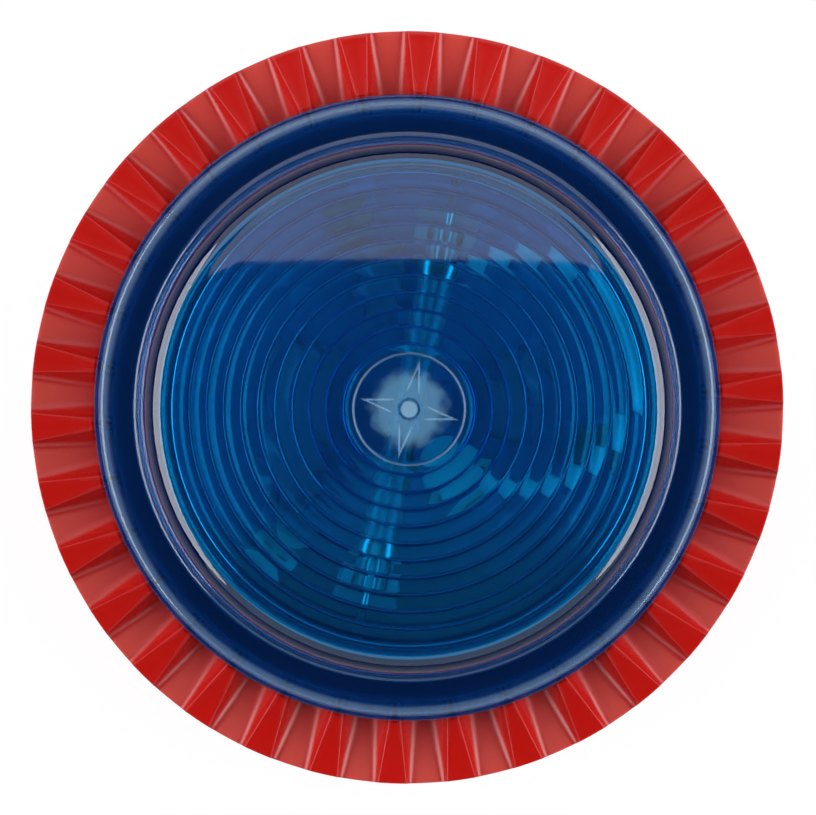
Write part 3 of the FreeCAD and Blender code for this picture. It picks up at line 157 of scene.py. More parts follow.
red = (0.405, 0.0050, 0.0030, 1.0)
dress(moulded("red_base", red, 0.42), "wall_base")

# Cable grommet
# A black rubber bush pressed into the rear cable entry.
# Rubber this soft has a dull, slightly dusty skin.
rubber = (0.018, 0.018, 0.019, 1.0)
dress(moulded("black_rubber", rubber, 0.72, 0.0005, 0.00002, 0.25), "cable_grommet")

# Terminal block and its metal
# A grey four-way block on two posts, with plated brass cages and slotted screws, and bronze leaf springs
# that feed the head when it is twisted home. Plated parts carry fine drawing lines and a dull film.


def plated(name, colour, roughness):
    """Plated or drawn metal: fine lines along one direction and patches of dull film."""
    finish = Finish(name, {"Metallic": 1.0})
    stretch = {"Vector": finish.where(), "Scale": (1.0, 1.0, 9.0)}
    lines = finish.noise(0.0006, 2.0, finish.node("ShaderNodeMapping", {}, stretch))
    film = finish.noise(0.004, 3.0)
    finish.feed(finish.inputs["Base Color"], finish.mix(film, shade(colour, 0.75), shade(colour, 1.08)))
    finish.feed(finish.inputs["Roughness"], lines * 0.16 + film * 0.14 + (roughness - 0.15))
    finish.bump(lines, 0.000008, 0.6)
    return finish


zinc = plated("zinc_steel", (0.56, 0.57, 0.58, 1.0), 0.34)
dress(moulded("grey_terminal", (0.23, 0.24, 0.25, 1.0), 0.45, 0.0004, 0.00001), "terminal_block")
dress(plated("plated_brass", (0.66, 0.58, 0.42, 1.0), 0.32), "terminal_clamps", "head_contacts")
dress(plated("spring_bronze", (0.60, 0.38, 0.20, 1.0), 0.30), "contact_springs")
dress(zinc, "terminal_screws", "block_screws")

# Sounder body
# The red head shell, moulded in one piece. Its crown is a ring of ribs that carry the lens, with a trough
# between each two that lets the sound out from under the lens and over the rim. The tool's pockets leave
# the troughs matt, and the rib tops and the rim come out smooth. Sizes are in millimetres.
RIB_COUNT = 34
HALF_PITCH = math.pi / RIB_COUNT
RIM_LEVEL = 69.8
SEAT_LEVEL = 70.0
BORE = 39.2
RECESS = 41.9
RIB_FOOT = 49.3
CROWN_EDGE = 49.9
CROWN_ROUND = 0.1
RIB_RISE = 0.35
RIB_HALF_WIDTH, RIB_SPREAD = 0.7, 0.145
TROUGH_DEPTH, TROUGH_CLIMB, TROUGH_RUN = 1.9, 1.2, 8.9
TROUGH_HALF_WIDTH, TROUGH_SPREAD = 1.25, 0.105
BRIM_BEND, HOLLOW_BEND, FLOOR_BEND = 0.06, 0.8, 0.75
SIDE_FOOT, SIDE_FOOT_LEVEL = 48.4, 34.5
SIDE_TAPER = 1.6 / 34.8


def round_corner(before, corner, after, start, stop, steps):
    """Points of a soft bend at a corner, from start short of it to stop past it."""
    first = corner + (before - corner).normalized() * start
    last = corner + (after - corner).normalized() * stop
    points = []
    for step in range(steps + 1):
        t = step / steps
        points.append(first * (1 - t) ** 2 + corner * (2 * t * (1 - t)) + last * t * t)
    return points


def crown_row(radius, ceiling=math.inf):
    """Half a pitch of the crown, from a rib's middle to a trough's: angle, radius, height, mattness."""
    outward = radius - RECESS
    half_pitch = radius * HALF_PITCH
    rib_top = min(ceiling, RIM_LEVEL + RIB_RISE * max(0.0, RIB_FOOT - radius) / (RIB_FOOT - RECESS))
    trough_floor = RIM_LEVEL - (TROUGH_DEPTH - TROUGH_CLIMB * outward / TROUGH_RUN)
    rib_middle, trough_middle = Vector((0.0, rib_top)), Vector((half_pitch, trough_floor))
    brim = Vector((RIB_HALF_WIDTH + RIB_SPREAD * outward, rib_top))
    foot = Vector((half_pitch - TROUGH_HALF_WIDTH - TROUGH_SPREAD * outward, trough_floor))
    slope = (foot - brim).length
    brim_bend, hollow_bend = min(BRIM_BEND, 0.3 * slope), min(HOLLOW_BEND, 0.5 * slope)
    shoulder = round_corner(rib_middle, brim, foot, brim_bend, brim_bend, 4)
    hollow = round_corner(brim, foot, trough_middle, hollow_bend, FLOOR_BEND, 6)
    before_brim, past_brim = shoulder[0].lerp(rib_middle, 0.06), shoulder[-1].lerp(hollow[0], 0.12)
    points = [rib_middle, before_brim, *shoulder, past_brim, *hollow]
    points += [(hollow[-1] * 2 + trough_middle) / 3, trough_middle]
    on_rib, on_shoulder, on_floor = [0.1, 0.3], [0.6] * 5, [1.0] * 3
    on_wall = [0.15, 0.35, 0.45, 0.52, 0.58, 0.65, 0.85]
    mattness = on_rib + on_shoulder + on_wall + on_floor
    return [(point.x / radius, radius, point.y, skin) for point, skin in zip(points, mattness)]


def plain_row(radius, height, matt=0.4):
    """The same stations on a part of the shell that is simply round."""
    shares = [0, 0.07, 0.14, 0.16, 0.18, 0.2, 0.22, 0.3, 0.4]
    shares += [0.45, 0.5, 0.55, 0.6, 0.65, 0.72, 0.86, 1.0]
    return [(share * HALF_PITCH, radius, height, matt) for share in shares]


rows = [plain_row(48.05, SIDE_FOOT_LEVEL), plain_row(48.28, 34.57), plain_row(48.42, 34.8)]
for height in (38.0, 46.0, 54.0, 62.0, 66.5):
    rows.append(plain_row(SIDE_FOOT + SIDE_TAPER * (height - SIDE_FOOT_LEVEL), height))
edge = crown_row(CROWN_EDGE)
for bend in (0.0, 0.5, 1.0):
    reach = CROWN_EDGE + CROWN_ROUND * math.cos(bend)
    drop = CROWN_ROUND - CROWN_ROUND * math.sin(bend)
    rows.append([(angle, reach, height - drop, max(matt, 0.5)) for angle, radius, height, matt in edge])
crown_radii = (CROWN_EDGE, RIB_FOOT, 48.4, 47.4, 46.4, 45.4, 44.4, 43.4, 42.6, 42.1, RECESS)
rows += [crown_row(radius) for radius in crown_radii]
rows += [crown_row(radius, SEAT_LEVEL) for radius in (RECESS, 40.6, BORE)]
inside = [(BORE, 65.6), (47.23, 65.6), (46.65, 52.9), (11.5, 52.9), (11.5, 50.5), (46.54, 50.5)]
inside += [(45.92, 37.1), (38.8, 37.1), (38.8, 31.0), (40.4, 31.0), (40.4, 24.5), (42.6, 24.5)]
inside += [(42.6, 31.3), (44.9, 31.3), (44.9, 31.9), (43.1, 31.9), (43.1, 33.9), (44.9, 33.9)]
inside += [(44.9, SIDE_FOOT_LEVEL)]
rows += [plain_row(*corner) for corner in inside]
rows.append(rows[0])

sector = bpy.data.meshes.new("rib_sector")
points, faces, dullness = [], [], []
columns = 2 * len(rows[0]) - 1
for row in rows:
    mirrored_half = [(-angle, radius, height, matt) for angle, radius, height, matt in reversed(row[1:])]
    for angle, radius, height, matt in mirrored_half + row:
        spot = (radius * math.cos(angle), radius * math.sin(angle), height)
        points.append(tuple(part / 1000 for part in spot))
        dullness.append(matt)
for row in range(len(rows) - 1):
    for column in range(columns - 1):
        corner = row * columns + column
        faces.append((corner, corner + 1, corner + columns + 1, corner + columns))
sector.from_pydata(points, [], faces)
sector.attributes.new("mattness", "FLOAT", "POINT").data.foreach_set("value", dullness)
sector_piece = bpy.data.objects.new("rib_sector", sector)

crown_ring = bpy.data.node_groups.new("ring_of_ribs", "GeometryNodeTree")
ring_socket = crown_ring.interface.new_socket
sector_input = ring_socket("Sector", in_out="INPUT", socket_type="NodeSocketObject")
count_input = ring_socket("Ribs", in_out="INPUT", socket_type="NodeSocketInt")
paint_input = ring_socket("Finish", in_out="INPUT", socket_type="NodeSocketMaterial")
ring_socket("Geometry", in_out="OUTPUT", socket_type="NodeSocketGeometry")


def ring_node(kind, sockets=None, output=0, **settings):
    """Adds a node to the ring's tree, feeds its sockets and gives back its output."""
    made = crown_ring.nodes.new(kind)
    for key, value in settings.items():
        setattr(made, key, value)
    for key, value in (sockets or {}).items():
        if isinstance(value, bpy.types.NodeSocket):
            crown_ring.links.new(value, made.inputs[key])
        else:
            made.inputs[key].default_value = value
    return made.outputs[output] if made.outputs else None


given = crown_ring.nodes.new("NodeGroupInput").outputs
spots = ring_node("GeometryNodePoints", {"Count": given["Ribs"], "Radius": 0.001})
turn_each = ring_node("ShaderNodeMath", {0: 2 * math.pi, 1: given["Ribs"]}, operation="DIVIDE")
number = ring_node("GeometryNodeInputIndex")
turned = ring_node("ShaderNodeMath", {0: number, 1: turn_each}, operation="MULTIPLY")
spin = ring_node("ShaderNodeCombineXYZ", {"Z": turned})
shape = ring_node("GeometryNodeObjectInfo", {"Object": given["Sector"]}, "Geometry")
each = {"Points": spots, "Instance": shape, "Rotation": spin}
copies = ring_node("GeometryNodeInstanceOnPoints", each)
solid = ring_node("GeometryNodeRealizeInstances", {"Geometry": copies})
joined = ring_node("GeometryNodeMergeByDistance", {"Geometry": solid, "Distance": 0.000004})
painted = ring_node("GeometryNodeSetMaterial", {"Geometry": joined, "Material": given["Finish"]})
ring_node("NodeGroupOutput", {"Geometry": painted})

red_head = Finish("red_head", {"IOR": 1.52})
tone = red_head.noise(0.02, 3.0)
spark = red_head.noise(0.00028, 1.0)
matt = red_head.node("ShaderNodeAttribute", {"attribute_name": "mattness"}, output="Fac")
flattened = {0: red_head.where(), 1: (1, 1, 0)}
plan = red_head.node("ShaderNodeVectorMath", {"operation": "MULTIPLY"}, flattened)
reach = red_head.node("ShaderNodeVectorMath", {"operation": "LENGTH"}, {0: plan}, output="Value")
# Troughs are paler towards the rim: partly the matt skin's own paler look, partly a painted sheen of the
# side lights, and the fade inward is painted shade.
pale_matt_and_sheen = matt.rise(0.6, 1.0) * reach.rise(0.0405, 0.0485) * (spark * 0.3 + 0.85)
sunk = matt * reach.rise(0.0470, 0.0415)
plain_red = red_head.mix(tone, shade(red, 0.95), shade(red, 1.05))
red_head.feed(red_head.inputs["Base Color"], red_head.mix(pale_matt_and_sheen, plain_red, (0.475, 0.035, 0.024, 1.0)))
pocket = matt * 0.3 + sunk * 0.25 + (spark - 0.5) * matt * 0.12
red_head.feed(red_head.inputs["Roughness"], pocket + (tone - 0.5) * 0.05 + 0.16)
red_head.bump(spark * matt, 0.000012)

sounder_body = bpy.data.objects.new("head_shell", bpy.data.meshes.new("head_shell"))
bpy.context.scene.collection.objects.link(sounder_body)
ring = sounder_body.modifiers.new("ring_of_ribs", "NODES")
ring.node_group = crown_ring
ring[sector_input.identifier] = sector_piece
ring[count_input.identifier] = RIB_COUNT
ring[paint_input.identifier] = red_head.material
whole_ring = sounder_body.evaluated_get(bpy.context.evaluated_depsgraph_get())
shell = bpy.data.meshes.new_from_object(whole_ring)
sounder_body.modifiers.clear()
sounder_body.data = shell
bpy.data.objects.remove(sector_piece)

# The three bayonet lugs and the screw pillars inside belong to the same moulding.
# Each kind of pillar has a reach, a first angle, a low and a high end.
LUG_INSIDE, LUG_OUTSIDE = 42.0, 45.0
LUG_LOW, LUG_HIGH = 25.2, 27.6
PILLAR_RADIUS = 3.0
TRAY_PILLAR = (29.0, 89, 51.7, 61.0)
BOARD_PILLAR = (28.3, 30, 37.5, 51.7)
COVER_PILLAR = (35.4, 90, 31.0, 51.7)
shell_edit = bmesh.new()
shell_edit.from_mesh(shell)


def add_block(edit, plan, low, high):
    """A straight block over a flat outline, in millimetres."""
    foot = [edit.verts.new((x / 1000, y / 1000, low / 1000)) for x, y in plan]
    head = [edit.verts.new((x / 1000, y / 1000, high / 1000)) for x, y in plan]
    edit.faces.new(reversed(foot))
    edit.faces.new(head)
    for k in range(len(plan)):
        following = (k + 1) % len(plan)
        edit.faces.new((foot[k], foot[following], head[following], head[k]))


def polar(radius, degrees, centre=(0.0, 0.0)):
    turn = math.radians(degrees)
    return centre[0] + radius * math.cos(turn), centre[1] + radius * math.sin(turn)


for third in range(3):
    sweep = [120 * third - 8 + 2 * k for k in range(9)]
    lug = [polar(LUG_OUTSIDE, degrees) for degrees in sweep]
    lug += [polar(LUG_INSIDE, degrees) for degrees in reversed(sweep)]
    add_block(shell_edit, lug, LUG_LOW, LUG_HIGH)
    for reach, start, low, high in (TRAY_PILLAR, BOARD_PILLAR, COVER_PILLAR):
        centre = polar(reach, start + 120 * third)
        pillar = [polar(PILLAR_RADIUS, 15 * k, centre) for k in range(24)]
        add_block(shell_edit, pillar, low, high)
shell_edit.to_mesh(shell)
shell_edit.free()
shell.polygons.foreach_set("use_smooth", [True] * len(shell.polygons))
shell.set_sharp_from_angle(angle=math.radians(38))
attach(sounder_body, "head")
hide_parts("sounder_body")

# Head seal and lens seal
# Rubber rings, moulded and stretched into their grooves: one between the head and the base, and one
# between the lens and its tray.
seal_black = (0.02, 0.02, 0.021, 1.0)
dress(moulded("seal_rubber", seal_black, 0.6, 0.0004, 0.00001, 0.2), "head_seal", "lens_seal")

# Piezo sounder unit
# A thin brass diaphragm with a ceramic disc bonded to it, held against the bulkhead by a black moulded ring
# and zinc-plated screws. The rear cover and the small black parts are of the same plastic.
dress(plated("diaphragm_brass", (0.70, 0.52, 0.24, 1.0), 0.28), "piezo_diaphragm")
dress(moulded("piezo_ceramic", (0.62, 0.58, 0.50, 1.0), 0.5, 0.0008, 0.000006, 0.12), "piezo_ceramic")
black = moulded("black_plastic", (0.02, 0.02, 0.022, 1.0), 0.4)
dress(black, "piezo_clamp_ring", "rear_cover", "driver_chip", "trimmer_body")
dress(zinc, "clamp_screws", "board_screws", "cover_screws", "tray_screws", "flash_board_screws")

# Circuit boards
# Glass-fibre boards with copper tracks under solder resist, green on the main board and blue on the flash
# board. The lower part of the flash board is painted nearly black: painted shade where little light reaches
# it.


def resist(name, colour, track, lower_shade_share, gloss):
    """Solder resist: copper tracks show through as slightly lighter, raised lines on a grid."""
    finish = Finish(name, {"IOR": 1.5, "Specular IOR Level": gloss})
    spot = finish.where()
    grid = {"distance": "CHEBYCHEV", "feature": "F1"}
    cells = finish.node("ShaderNodeTexVoronoi", grid, {"Vector": spot, "Scale": 260.0, "Randomness": 0.35})
    tracks = cells.rise(0.36, 0.30)
    weave = finish.noise(0.0006, 1.0)
    height = finish.node("ShaderNodeSeparateXYZ", {}, {0: spot}, output=1)
    # The lower part of the board is painted nearly black by the given share: painted shade.
    lower_painted_shade = height.rise(-0.006, -0.020) * lower_shade_share
    over_tracks = finish.mix(tracks, colour, track)
    finish.feed(finish.inputs["Base Color"], finish.mix(lower_painted_shade, over_tracks, shade(colour, 0.06)))
    finish.feed(finish.inputs["Roughness"], weave * 0.15 + tracks * 0.06 + 0.25)
    finish.bump(tracks + weave * 0.2, 0.00003, 0.5)
    return finish


green, green_track = (0.012, 0.11, 0.04, 1.0), (0.03, 0.2, 0.08, 1.0)
board_blue, blue_track = (0.037, 0.22, 0.39, 1.0), (0.06, 0.285, 0.49, 1.0)
dress(resist("green_board", green, green_track, lower_shade_share=0.0, gloss=0.5), "main_board")
dress(resist("blue_board", board_blue, blue_track, lower_shade_share=0.9, gloss=0.15), "flash_board")

# Parts on the main board
# A sleeved reservoir capacitor, a ferrite inverter core with its copper winding, and the tone switches and
# volume control with white moulded sliders and rotor, all soldered down. Two insulated wires lead up.
WAVE_FACTOR = 20.0


def wound(name, colour, pitch, axis):
    """Fine enamelled wire wound side by side: each turn is a rounded line."""
    finish = Finish(name, {"Metallic": 0.85, "Coat Weight": 0.5, "Coat Roughness": 0.15})
    bands = {"bands_direction": axis, "wave_profile": "SIN"}
    fine = {"Scale": 2 * math.pi / (WAVE_FACTOR * pitch), "Distortion": 0.4, "Detail": 1.0}
    turns = finish.node("ShaderNodeTexWave", bands, {"Vector": finish.where(), **fine})
    finish.feed(finish.inputs["Base Color"], finish.mix(turns, shade(colour, 0.35), colour))
    finish.feed(finish.inputs["Roughness"], 0.5 - turns * 0.2)
    finish.bump(turns, 0.00008, 0.7)
    return finish


white = moulded("white_plastic", (0.74, 0.75, 0.74, 1.0), 0.4, 0.0004, 0.000008, 0.03)
sleeve = moulded("capacitor_sleeve", (0.02, 0.03, 0.055, 1.0), 0.3, 0.001, 0.00001, 0.2)
dress(sleeve, "reservoir_capacitor")
dress(moulded("ferrite", (0.045, 0.043, 0.042, 1.0), 0.55, 0.0004, 0.00003, 0.2), "inverter_core")
dress(wound("copper_winding", (0.62, 0.25, 0.09, 1.0), 0.0003, "X"), "inverter_winding")
dress(moulded("switch_block", (0.02, 0.07, 0.30, 1.0), 0.4), "dip_switch_block")
dress(white, *[f"dip_slider_{number}" for number in range(1, 7)], "trimmer_rotor")
dress(moulded("lead_insulation", (0.55, 0.55, 0.52, 1.0), 0.45, 0.0006, 0.000008), "link_wires")

# Reflector tray and flash tube supports
# A grey moulded tray, screwed down, that carries the flash unit under the lens, and two pale posts that
# hold the tube by its ends.
dress(moulded("pale_post", (0.42, 0.44, 0.46, 1.0), 0.45), "tube_supports")
dress(moulded("tray_grey", (0.22, 0.29, 0.36, 1.0), 0.5), "reflector_tray")

# Flash unit
# A straight xenon tube with nickel leads and a trigger band, and a trigger coil with a pale looped lead, all
# on the blue board. The tube is clear glass, a little unevenly rough all over from a faint deposit.
tube_clear = (0.92, 0.95, 0.96, 1.0)
tube_glass = Finish("tube_glass", {"Transmission Weight": 0.9, "IOR": 1.5, "Base Color": tube_clear})
deposit = tube_glass.noise(0.006, 2.0)
tube_glass.feed(tube_glass.inputs["Roughness"], deposit * 0.12 + 0.06)
dress(tube_glass, "flash_tube")
dress(plated("nickel_wire", (0.62, 0.60, 0.56, 1.0), 0.3), "tube_electrodes", "trigger_band")
dress(moulded("trigger_bobbin", (0.66, 0.66, 0.62, 1.0), 0.45), "trigger_bobbin")
dress(wound("trigger_winding", (0.66, 0.30, 0.12, 1.0), 0.00025, "Z"), "trigger_winding")
dress(moulded("trigger_lead", (0.80, 0.82, 0.80, 1.0), 0.4, 0.0006, 0.000008), "trigger_lead")

# Film capacitors
# Three reddish dipped capacitors soldered beside the tube. Each is a foil roll dipped in resin, so it has
# soft corners. For each one: place along and across the tube, then length, width and height.
FLASH_TURN = math.radians(74.6)
BOARD_TOP = 0.0676
CORNER = 0.0011
long_roll = (-4.0, 10.5, 16.0, 6.5, 9.0)
small_roll = (12.2, 5.4, 7.0, 4.0, 7.0)
middle_roll = (3.4, -10.5, 9.0, 4.5, 8.0)
tube_frame = Matrix.Rotation(FLASH_TURN, 4, "Z")
capacitor_edit = bmesh.new()
for x, y, length, width, height in (long_roll, small_roll, middle_roll):
    place = tube_frame @ Matrix.Translation((x / 1000, y / 1000, BOARD_TOP + height / 2000))
    size = Matrix.Diagonal((length, width, height, 1))
    lump = bmesh.ops.create_cube(capacitor_edit, size=0.001, matrix=place @ size)
    sides = list({edge for vert in lump["verts"] for edge in vert.link_edges})
    bmesh.ops.bevel(capacitor_edit, geom=sides, offset=CORNER, segments=4, profile=0.5, affect="EDGES")
capacitor_mesh = bpy.data.meshes.new("film_capacitors")
capacitor_edit.to_mesh(capacitor_mesh)
capacitor_edit.free()
capacitor_mesh.polygons.foreach_set("use_smooth", [True] * len(capacitor_mesh.polygons))
dipped_red = moulded("dipped_red", (0.60, 0.20, 0.30, 1.0), 0.3, 0.002, 0.00004, 0.1)
capacitor_mesh.materials.append(dipped_red.material)
film_capacitors = bpy.data.objects.new("dipped_capacitors", capacitor_mesh)
bpy.context.scene.collection.objects.link(film_capacitors)
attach(film_capacitors, "head")
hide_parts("film_capacitors")

# Lens
# Clear blue plastic, moulded in one shot through a gate at the middle of its top: flange, bead and flat
# shoulder at the foot, upright wall, rounded edge, and a dome stepped inside in rings round a centre boss.
# The melt left a pale blush and a four-pointed mark at the gate; the steps are etched matt, with a dark skin
# that is painted shade, and the foot is hazy.
LENS_FOOT = 70.0
WALL = 2.2
WALL_FOOT, WALL_FOOT_LEVEL = 35.6, 2.5
WALL_TOP, WALL_TOP_LEVEL = 34.2, 25.2
SEAL_LEVEL = 1.1
EDGE_BEND = 3.5
DOME_ANGLE = math.radians(10.3)
BEAD_CENTRE, BEAD_RADIUS = (40.0, 1.585), 1.0
FOOT_BEND_CENTRE, FOOT_BEND_RADIUS = (36.6, 3.5), 1.0
GATE_MOAT, GATE_PIN = 1.5, 1.1
GATE_DEPTH, PIN_RISE = 0.3, 0.1
BOSS, BOSS_DEPTH = 7.2, 0.7
RING_COUNT = 11
FIRST_RING, RING_PITCH = 8.4, 2.2
FIRST_STEP, STEP_GROWTH = 0.3, 0.05
RING_SWELL = 0.16
STAR_TURN = math.radians(74.6)
STAR_TIP = 5.9
STAR_WAIST = 1.5 * math.cos(math.pi / 4)
STAR_SIDE = math.hypot(STAR_WAIST, STAR_TIP - STAR_WAIST)
STAR_DEPTH = 0.3
SEGMENTS = 288

lean = math.atan2(WALL_FOOT - WALL_TOP, WALL_TOP_LEVEL - WALL_FOOT_LEVEL)
wall_turn = math.pi / 2 - lean
dome_foot = WALL_TOP - EDGE_BEND * (math.cos(lean) - math.sin(DOME_ANGLE))
dome_foot_level = WALL_TOP_LEVEL + EDGE_BEND * (math.cos(DOME_ANGLE) - math.sin(lean))
dome_radius = dome_foot / math.sin(DOME_ANGLE)
dome_centre = dome_foot_level - dome_radius * math.cos(DOME_ANGLE)


def outside_dome(radius):
    return dome_centre + math.sqrt(dome_radius**2 - radius**2)


def inside_dome(radius):
    return dome_centre + math.sqrt((dome_radius - WALL) ** 2 - radius**2)


def arc(centre, radius, start, stop, steps):
    """Points of a round bend, angles measured from straight up towards outwards."""
    angles = [start + (stop - start) * k / steps for k in range(steps + 1)]
    return [(centre[0] + radius * math.sin(a), centre[1] + radius * math.cos(a)) for a in angles]


def line(first, last, steps):
    """Points along a straight wall, without its two ends."""
    out, up = last[0] - first[0], last[1] - first[1]
    return [(first[0] + out * k / steps, first[1] + up * k / steps) for k in range(1, steps)]


# The profile goes from the flange over the outside to the middle, and back along the inside.
edge_centre = (WALL_TOP - EDGE_BEND * math.cos(lean), WALL_TOP_LEVEL - EDGE_BEND * math.sin(lean))
bead = arc(BEAD_CENTRE, BEAD_RADIUS, math.radians(95), math.radians(-23.6), 12)
foot_bend = arc(FOOT_BEND_CENTRE, FOOT_BEND_RADIUS, math.pi, 1.5 * math.pi - lean, 6)
outer_edge = arc(edge_centre, EDGE_BEND, wall_turn, DOME_ANGLE, 14)
inner_edge = arc(edge_centre, EDGE_BEND - WALL, DOME_ANGLE, wall_turn, 8)
profile = [(36.2, 0.0), (39.0, 0.0), (41.35, 0.0), (41.5, 0.15), (41.5, 1.35), (41.4, 1.47), (41.25, 1.5)]
profile += bead + line(bead[-1], foot_bend[0], 3) + foot_bend
profile += line(foot_bend[-1], outer_edge[0], 8) + outer_edge
for radius in (29.0, 26.0, 23.0, 20.0, 17.0, 14.0, 11.0, 8.0, 5.5, 3.5, 2.2, 1.65, 1.55):
    profile.append((radius, outside_dome(radius)))
gate_floor = outside_dome(GATE_MOAT) - GATE_DEPTH
pin_top = outside_dome(0) + PIN_RISE
profile += [(GATE_MOAT, outside_dome(GATE_MOAT) - 0.06), (GATE_MOAT - 0.05, gate_floor)]
profile += [(GATE_PIN + 0.05, gate_floor), (GATE_PIN, gate_floor + 0.05)]
profile += [(GATE_PIN, pin_top - 0.08), (GATE_PIN - 0.08, pin_top), (0.0, pin_top)]
outer_count = len(profile)
boss_foot = inside_dome(0) - BOSS_DEPTH
profile += [(0.22 * k, boss_foot) for k in range(32)]
boss_last = len(profile)
profile += [(6.98, boss_foot + 0.04), (7.1, boss_foot + 0.13), (7.16, boss_foot + 0.27)]
profile.append((BOSS, inside_dome(BOSS)))
riser_rows = set()
for ring_number in range(RING_COUNT):
    radius = FIRST_RING + RING_PITCH * ring_number
    depth = FIRST_STEP + STEP_GROWTH * ring_number
    foot = inside_dome(radius)
    before, top = profile[-1], (radius - 0.1, foot + depth)
    for step in range(1, 7):
        t = step / 6
        swell = RING_SWELL * t * (1 - t)
        out, up = (top[0] - before[0]) * t, (top[1] - before[1]) * t
        profile.append((before[0] + out, before[1] + up - swell))
    profile += [(radius - 0.04, foot + depth), (radius + 0.06, foot + 0.12)]
    profile += [(radius + 0.12, foot + 0.02), (radius + 0.24, foot)]
    riser_rows.update(range(len(profile) - 5, len(profile) - 1))
lean_in = (WALL_FOOT_LEVEL - SEAL_LEVEL) * math.tan(lean)
inner_foot = (WALL_FOOT - WALL / math.cos(lean) + lean_in, SEAL_LEVEL)
profile += inner_edge + line(inner_edge[-1], inner_foot, 6)
profile += [inner_foot, (35.0, SEAL_LEVEL), (36.2, SEAL_LEVEL)]


def star_depth(radius, angle):
    """How far the four-pointed flow mark stands below the boss at a point."""
    folded = abs((angle - STAR_TURN + math.pi / 4) % (math.pi / 2) - math.pi / 4)
    x, y = radius * math.cos(folded), radius * math.sin(folded)
    inward = ((STAR_TIP - x) * STAR_WAIST - y * (STAR_TIP - STAR_WAIST)) / STAR_SIDE
    ramp = min(1.0, max(0.0, inward / 0.16 + 0.5))
    return STAR_DEPTH * ramp * ramp * (3 - 2 * ramp)


lens_points, lens_faces, steps_etched_and_shaded, starts = [], [], [], []
for number, (radius, height) in enumerate(profile):
    starts.append(len(lens_points))
    for step in range(SEGMENTS if radius > 0 else 1):
        angle = 2 * math.pi * step / SEGMENTS
        drop = star_depth(radius, angle) if outer_count <= number < boss_last else 0.0
        spot = (radius * math.cos(angle), radius * math.sin(angle), LENS_FOOT + height - drop)
        lens_points.append(tuple(part / 1000 for part in spot))
        steps_etched_and_shaded.append(1.0 if number in riser_rows else 0.0)
for number, (radius, height) in enumerate(profile):
    beyond = (number + 1) % len(profile)
    first, second = starts[number], starts[beyond]
    from_middle, to_middle = radius == 0, profile[beyond][0] == 0
    if from_middle and to_middle:
        continue
    for step in range(SEGMENTS):
        following = (step + 1) % SEGMENTS
        if to_middle:
            lens_faces.append((first + step, first + following, second))
        elif from_middle:
            lens_faces.append((first, second + following, second + step))
        else:
            lens_faces.append((first + step, first + following, second + following, second + step))
lens_mesh = bpy.data.meshes.new("lens_moulding")
lens_mesh.from_pydata(lens_points, [], lens_faces)
lens_mesh.attributes.new("etched_and_shaded", "FLOAT", "POINT").data.foreach_set("value", steps_etched_and_shaded)
lens_edit = bmesh.new()
lens_edit.from_mesh(lens_mesh)
bmesh.ops.remove_doubles(lens_edit, verts=lens_edit.verts, dist=1e-7)
bmesh.ops.recalc_face_normals(lens_edit, faces=lens_edit.faces)
lens_edit.to_mesh(lens_mesh)
lens_edit.free()
lens_mesh.polygons.foreach_set("use_smooth", [True] * len(lens_mesh.polygons))
lens_mesh.set_sharp_from_angle(angle=math.radians(28))

# The clear body of the lens, dyed through.
blue = (0.42, 0.84, 0.97, 1.0)
dye_blue = (0.0, 0.83, 0.955, 1.0)
blue_lens = Finish("blue_lens", {"Transmission Weight": 1.0, "IOR": 1.58})
dye = blue_lens.node("ShaderNodeVolumeAbsorption", {}, {"Color": dye_blue, "Density": 1150.0})
blue_lens.feed(blue_lens.tree.nodes["Material Output"].inputs["Volume"], dye)
spot = blue_lens.where()
flow = blue_lens.noise(0.012, 2.0)
streaked = blue_lens.mix(flow, shade(blue, 0.94), shade(blue, 1.06))
blue_lens.feed(blue_lens.inputs["Base Color"], streaked)
blue_lens.feed(blue_lens.inputs["Roughness"], flow * 0.02 + 0.025)

# Where its skins lie: blush and gate mark, witness lines, painted highlights on bead and boss line, foot,
# steps in painted shade.
# Each pair of metres is where a skin begins and where it is full.
DOME_SKIN = 0.0995
BLUSH_EDGE, PIN_EDGE = (0.0056, 0.0034), (0.00115, 0.0009)
STAR_MIDDLE, STAR_LINE = (0.0018, 0.0032), (0.00016**2, 0.00002**2)
BOSS_EDGE, BOSS_LINE = 0.00718, (0.00017**2, 0.00004**2)
BEAD_INSIDE, BEAD_OUTSIDE, BEAD_TOP = (0.0394, 0.0400), (0.0411, 0.0405), 0.0730
FOOT_EDGE, LOWER_WALL = (0.0380, 0.0390), (0.092, 0.080)
axes = blue_lens.node("ShaderNodeSeparateXYZ", {}, {0: spot}).socket.node.outputs
across, up, level = (Value(blue_lens, axis) for axis in axes)
reach = (across * across + up * up) ** 0.5
outside = level.above(DOME_SKIN)
feather = blue_lens.noise(0.0014, 5.0)
blush = (reach + (feather - 0.5) * 0.0026).rise(*BLUSH_EDGE) * outside * 0.42
gate = reach.rise(*PIN_EDGE) * outside * 0.2
along = across * math.cos(STAR_TURN) + up * math.sin(STAR_TURN)
beside = up * math.cos(STAR_TURN) - across * math.sin(STAR_TURN)
long_side, short_side = (along * along) ** 0.5, (beside * beside) ** 0.5
gap = ((long_side - short_side) * (long_side - short_side)) ** 0.5
major, minor = (long_side + short_side + gap) * 0.5, (long_side + short_side - gap) * 0.5
tip, waist, side = STAR_TIP / 1000, STAR_WAIST / 1000, STAR_SIDE / 1000
inward = ((tip - major) * waist - minor * (tip - waist)) / side
star_line = (inward * inward).rise(*STAR_LINE) * reach.rise(*STAR_MIDDLE)
from_boss = reach - BOSS_EDGE
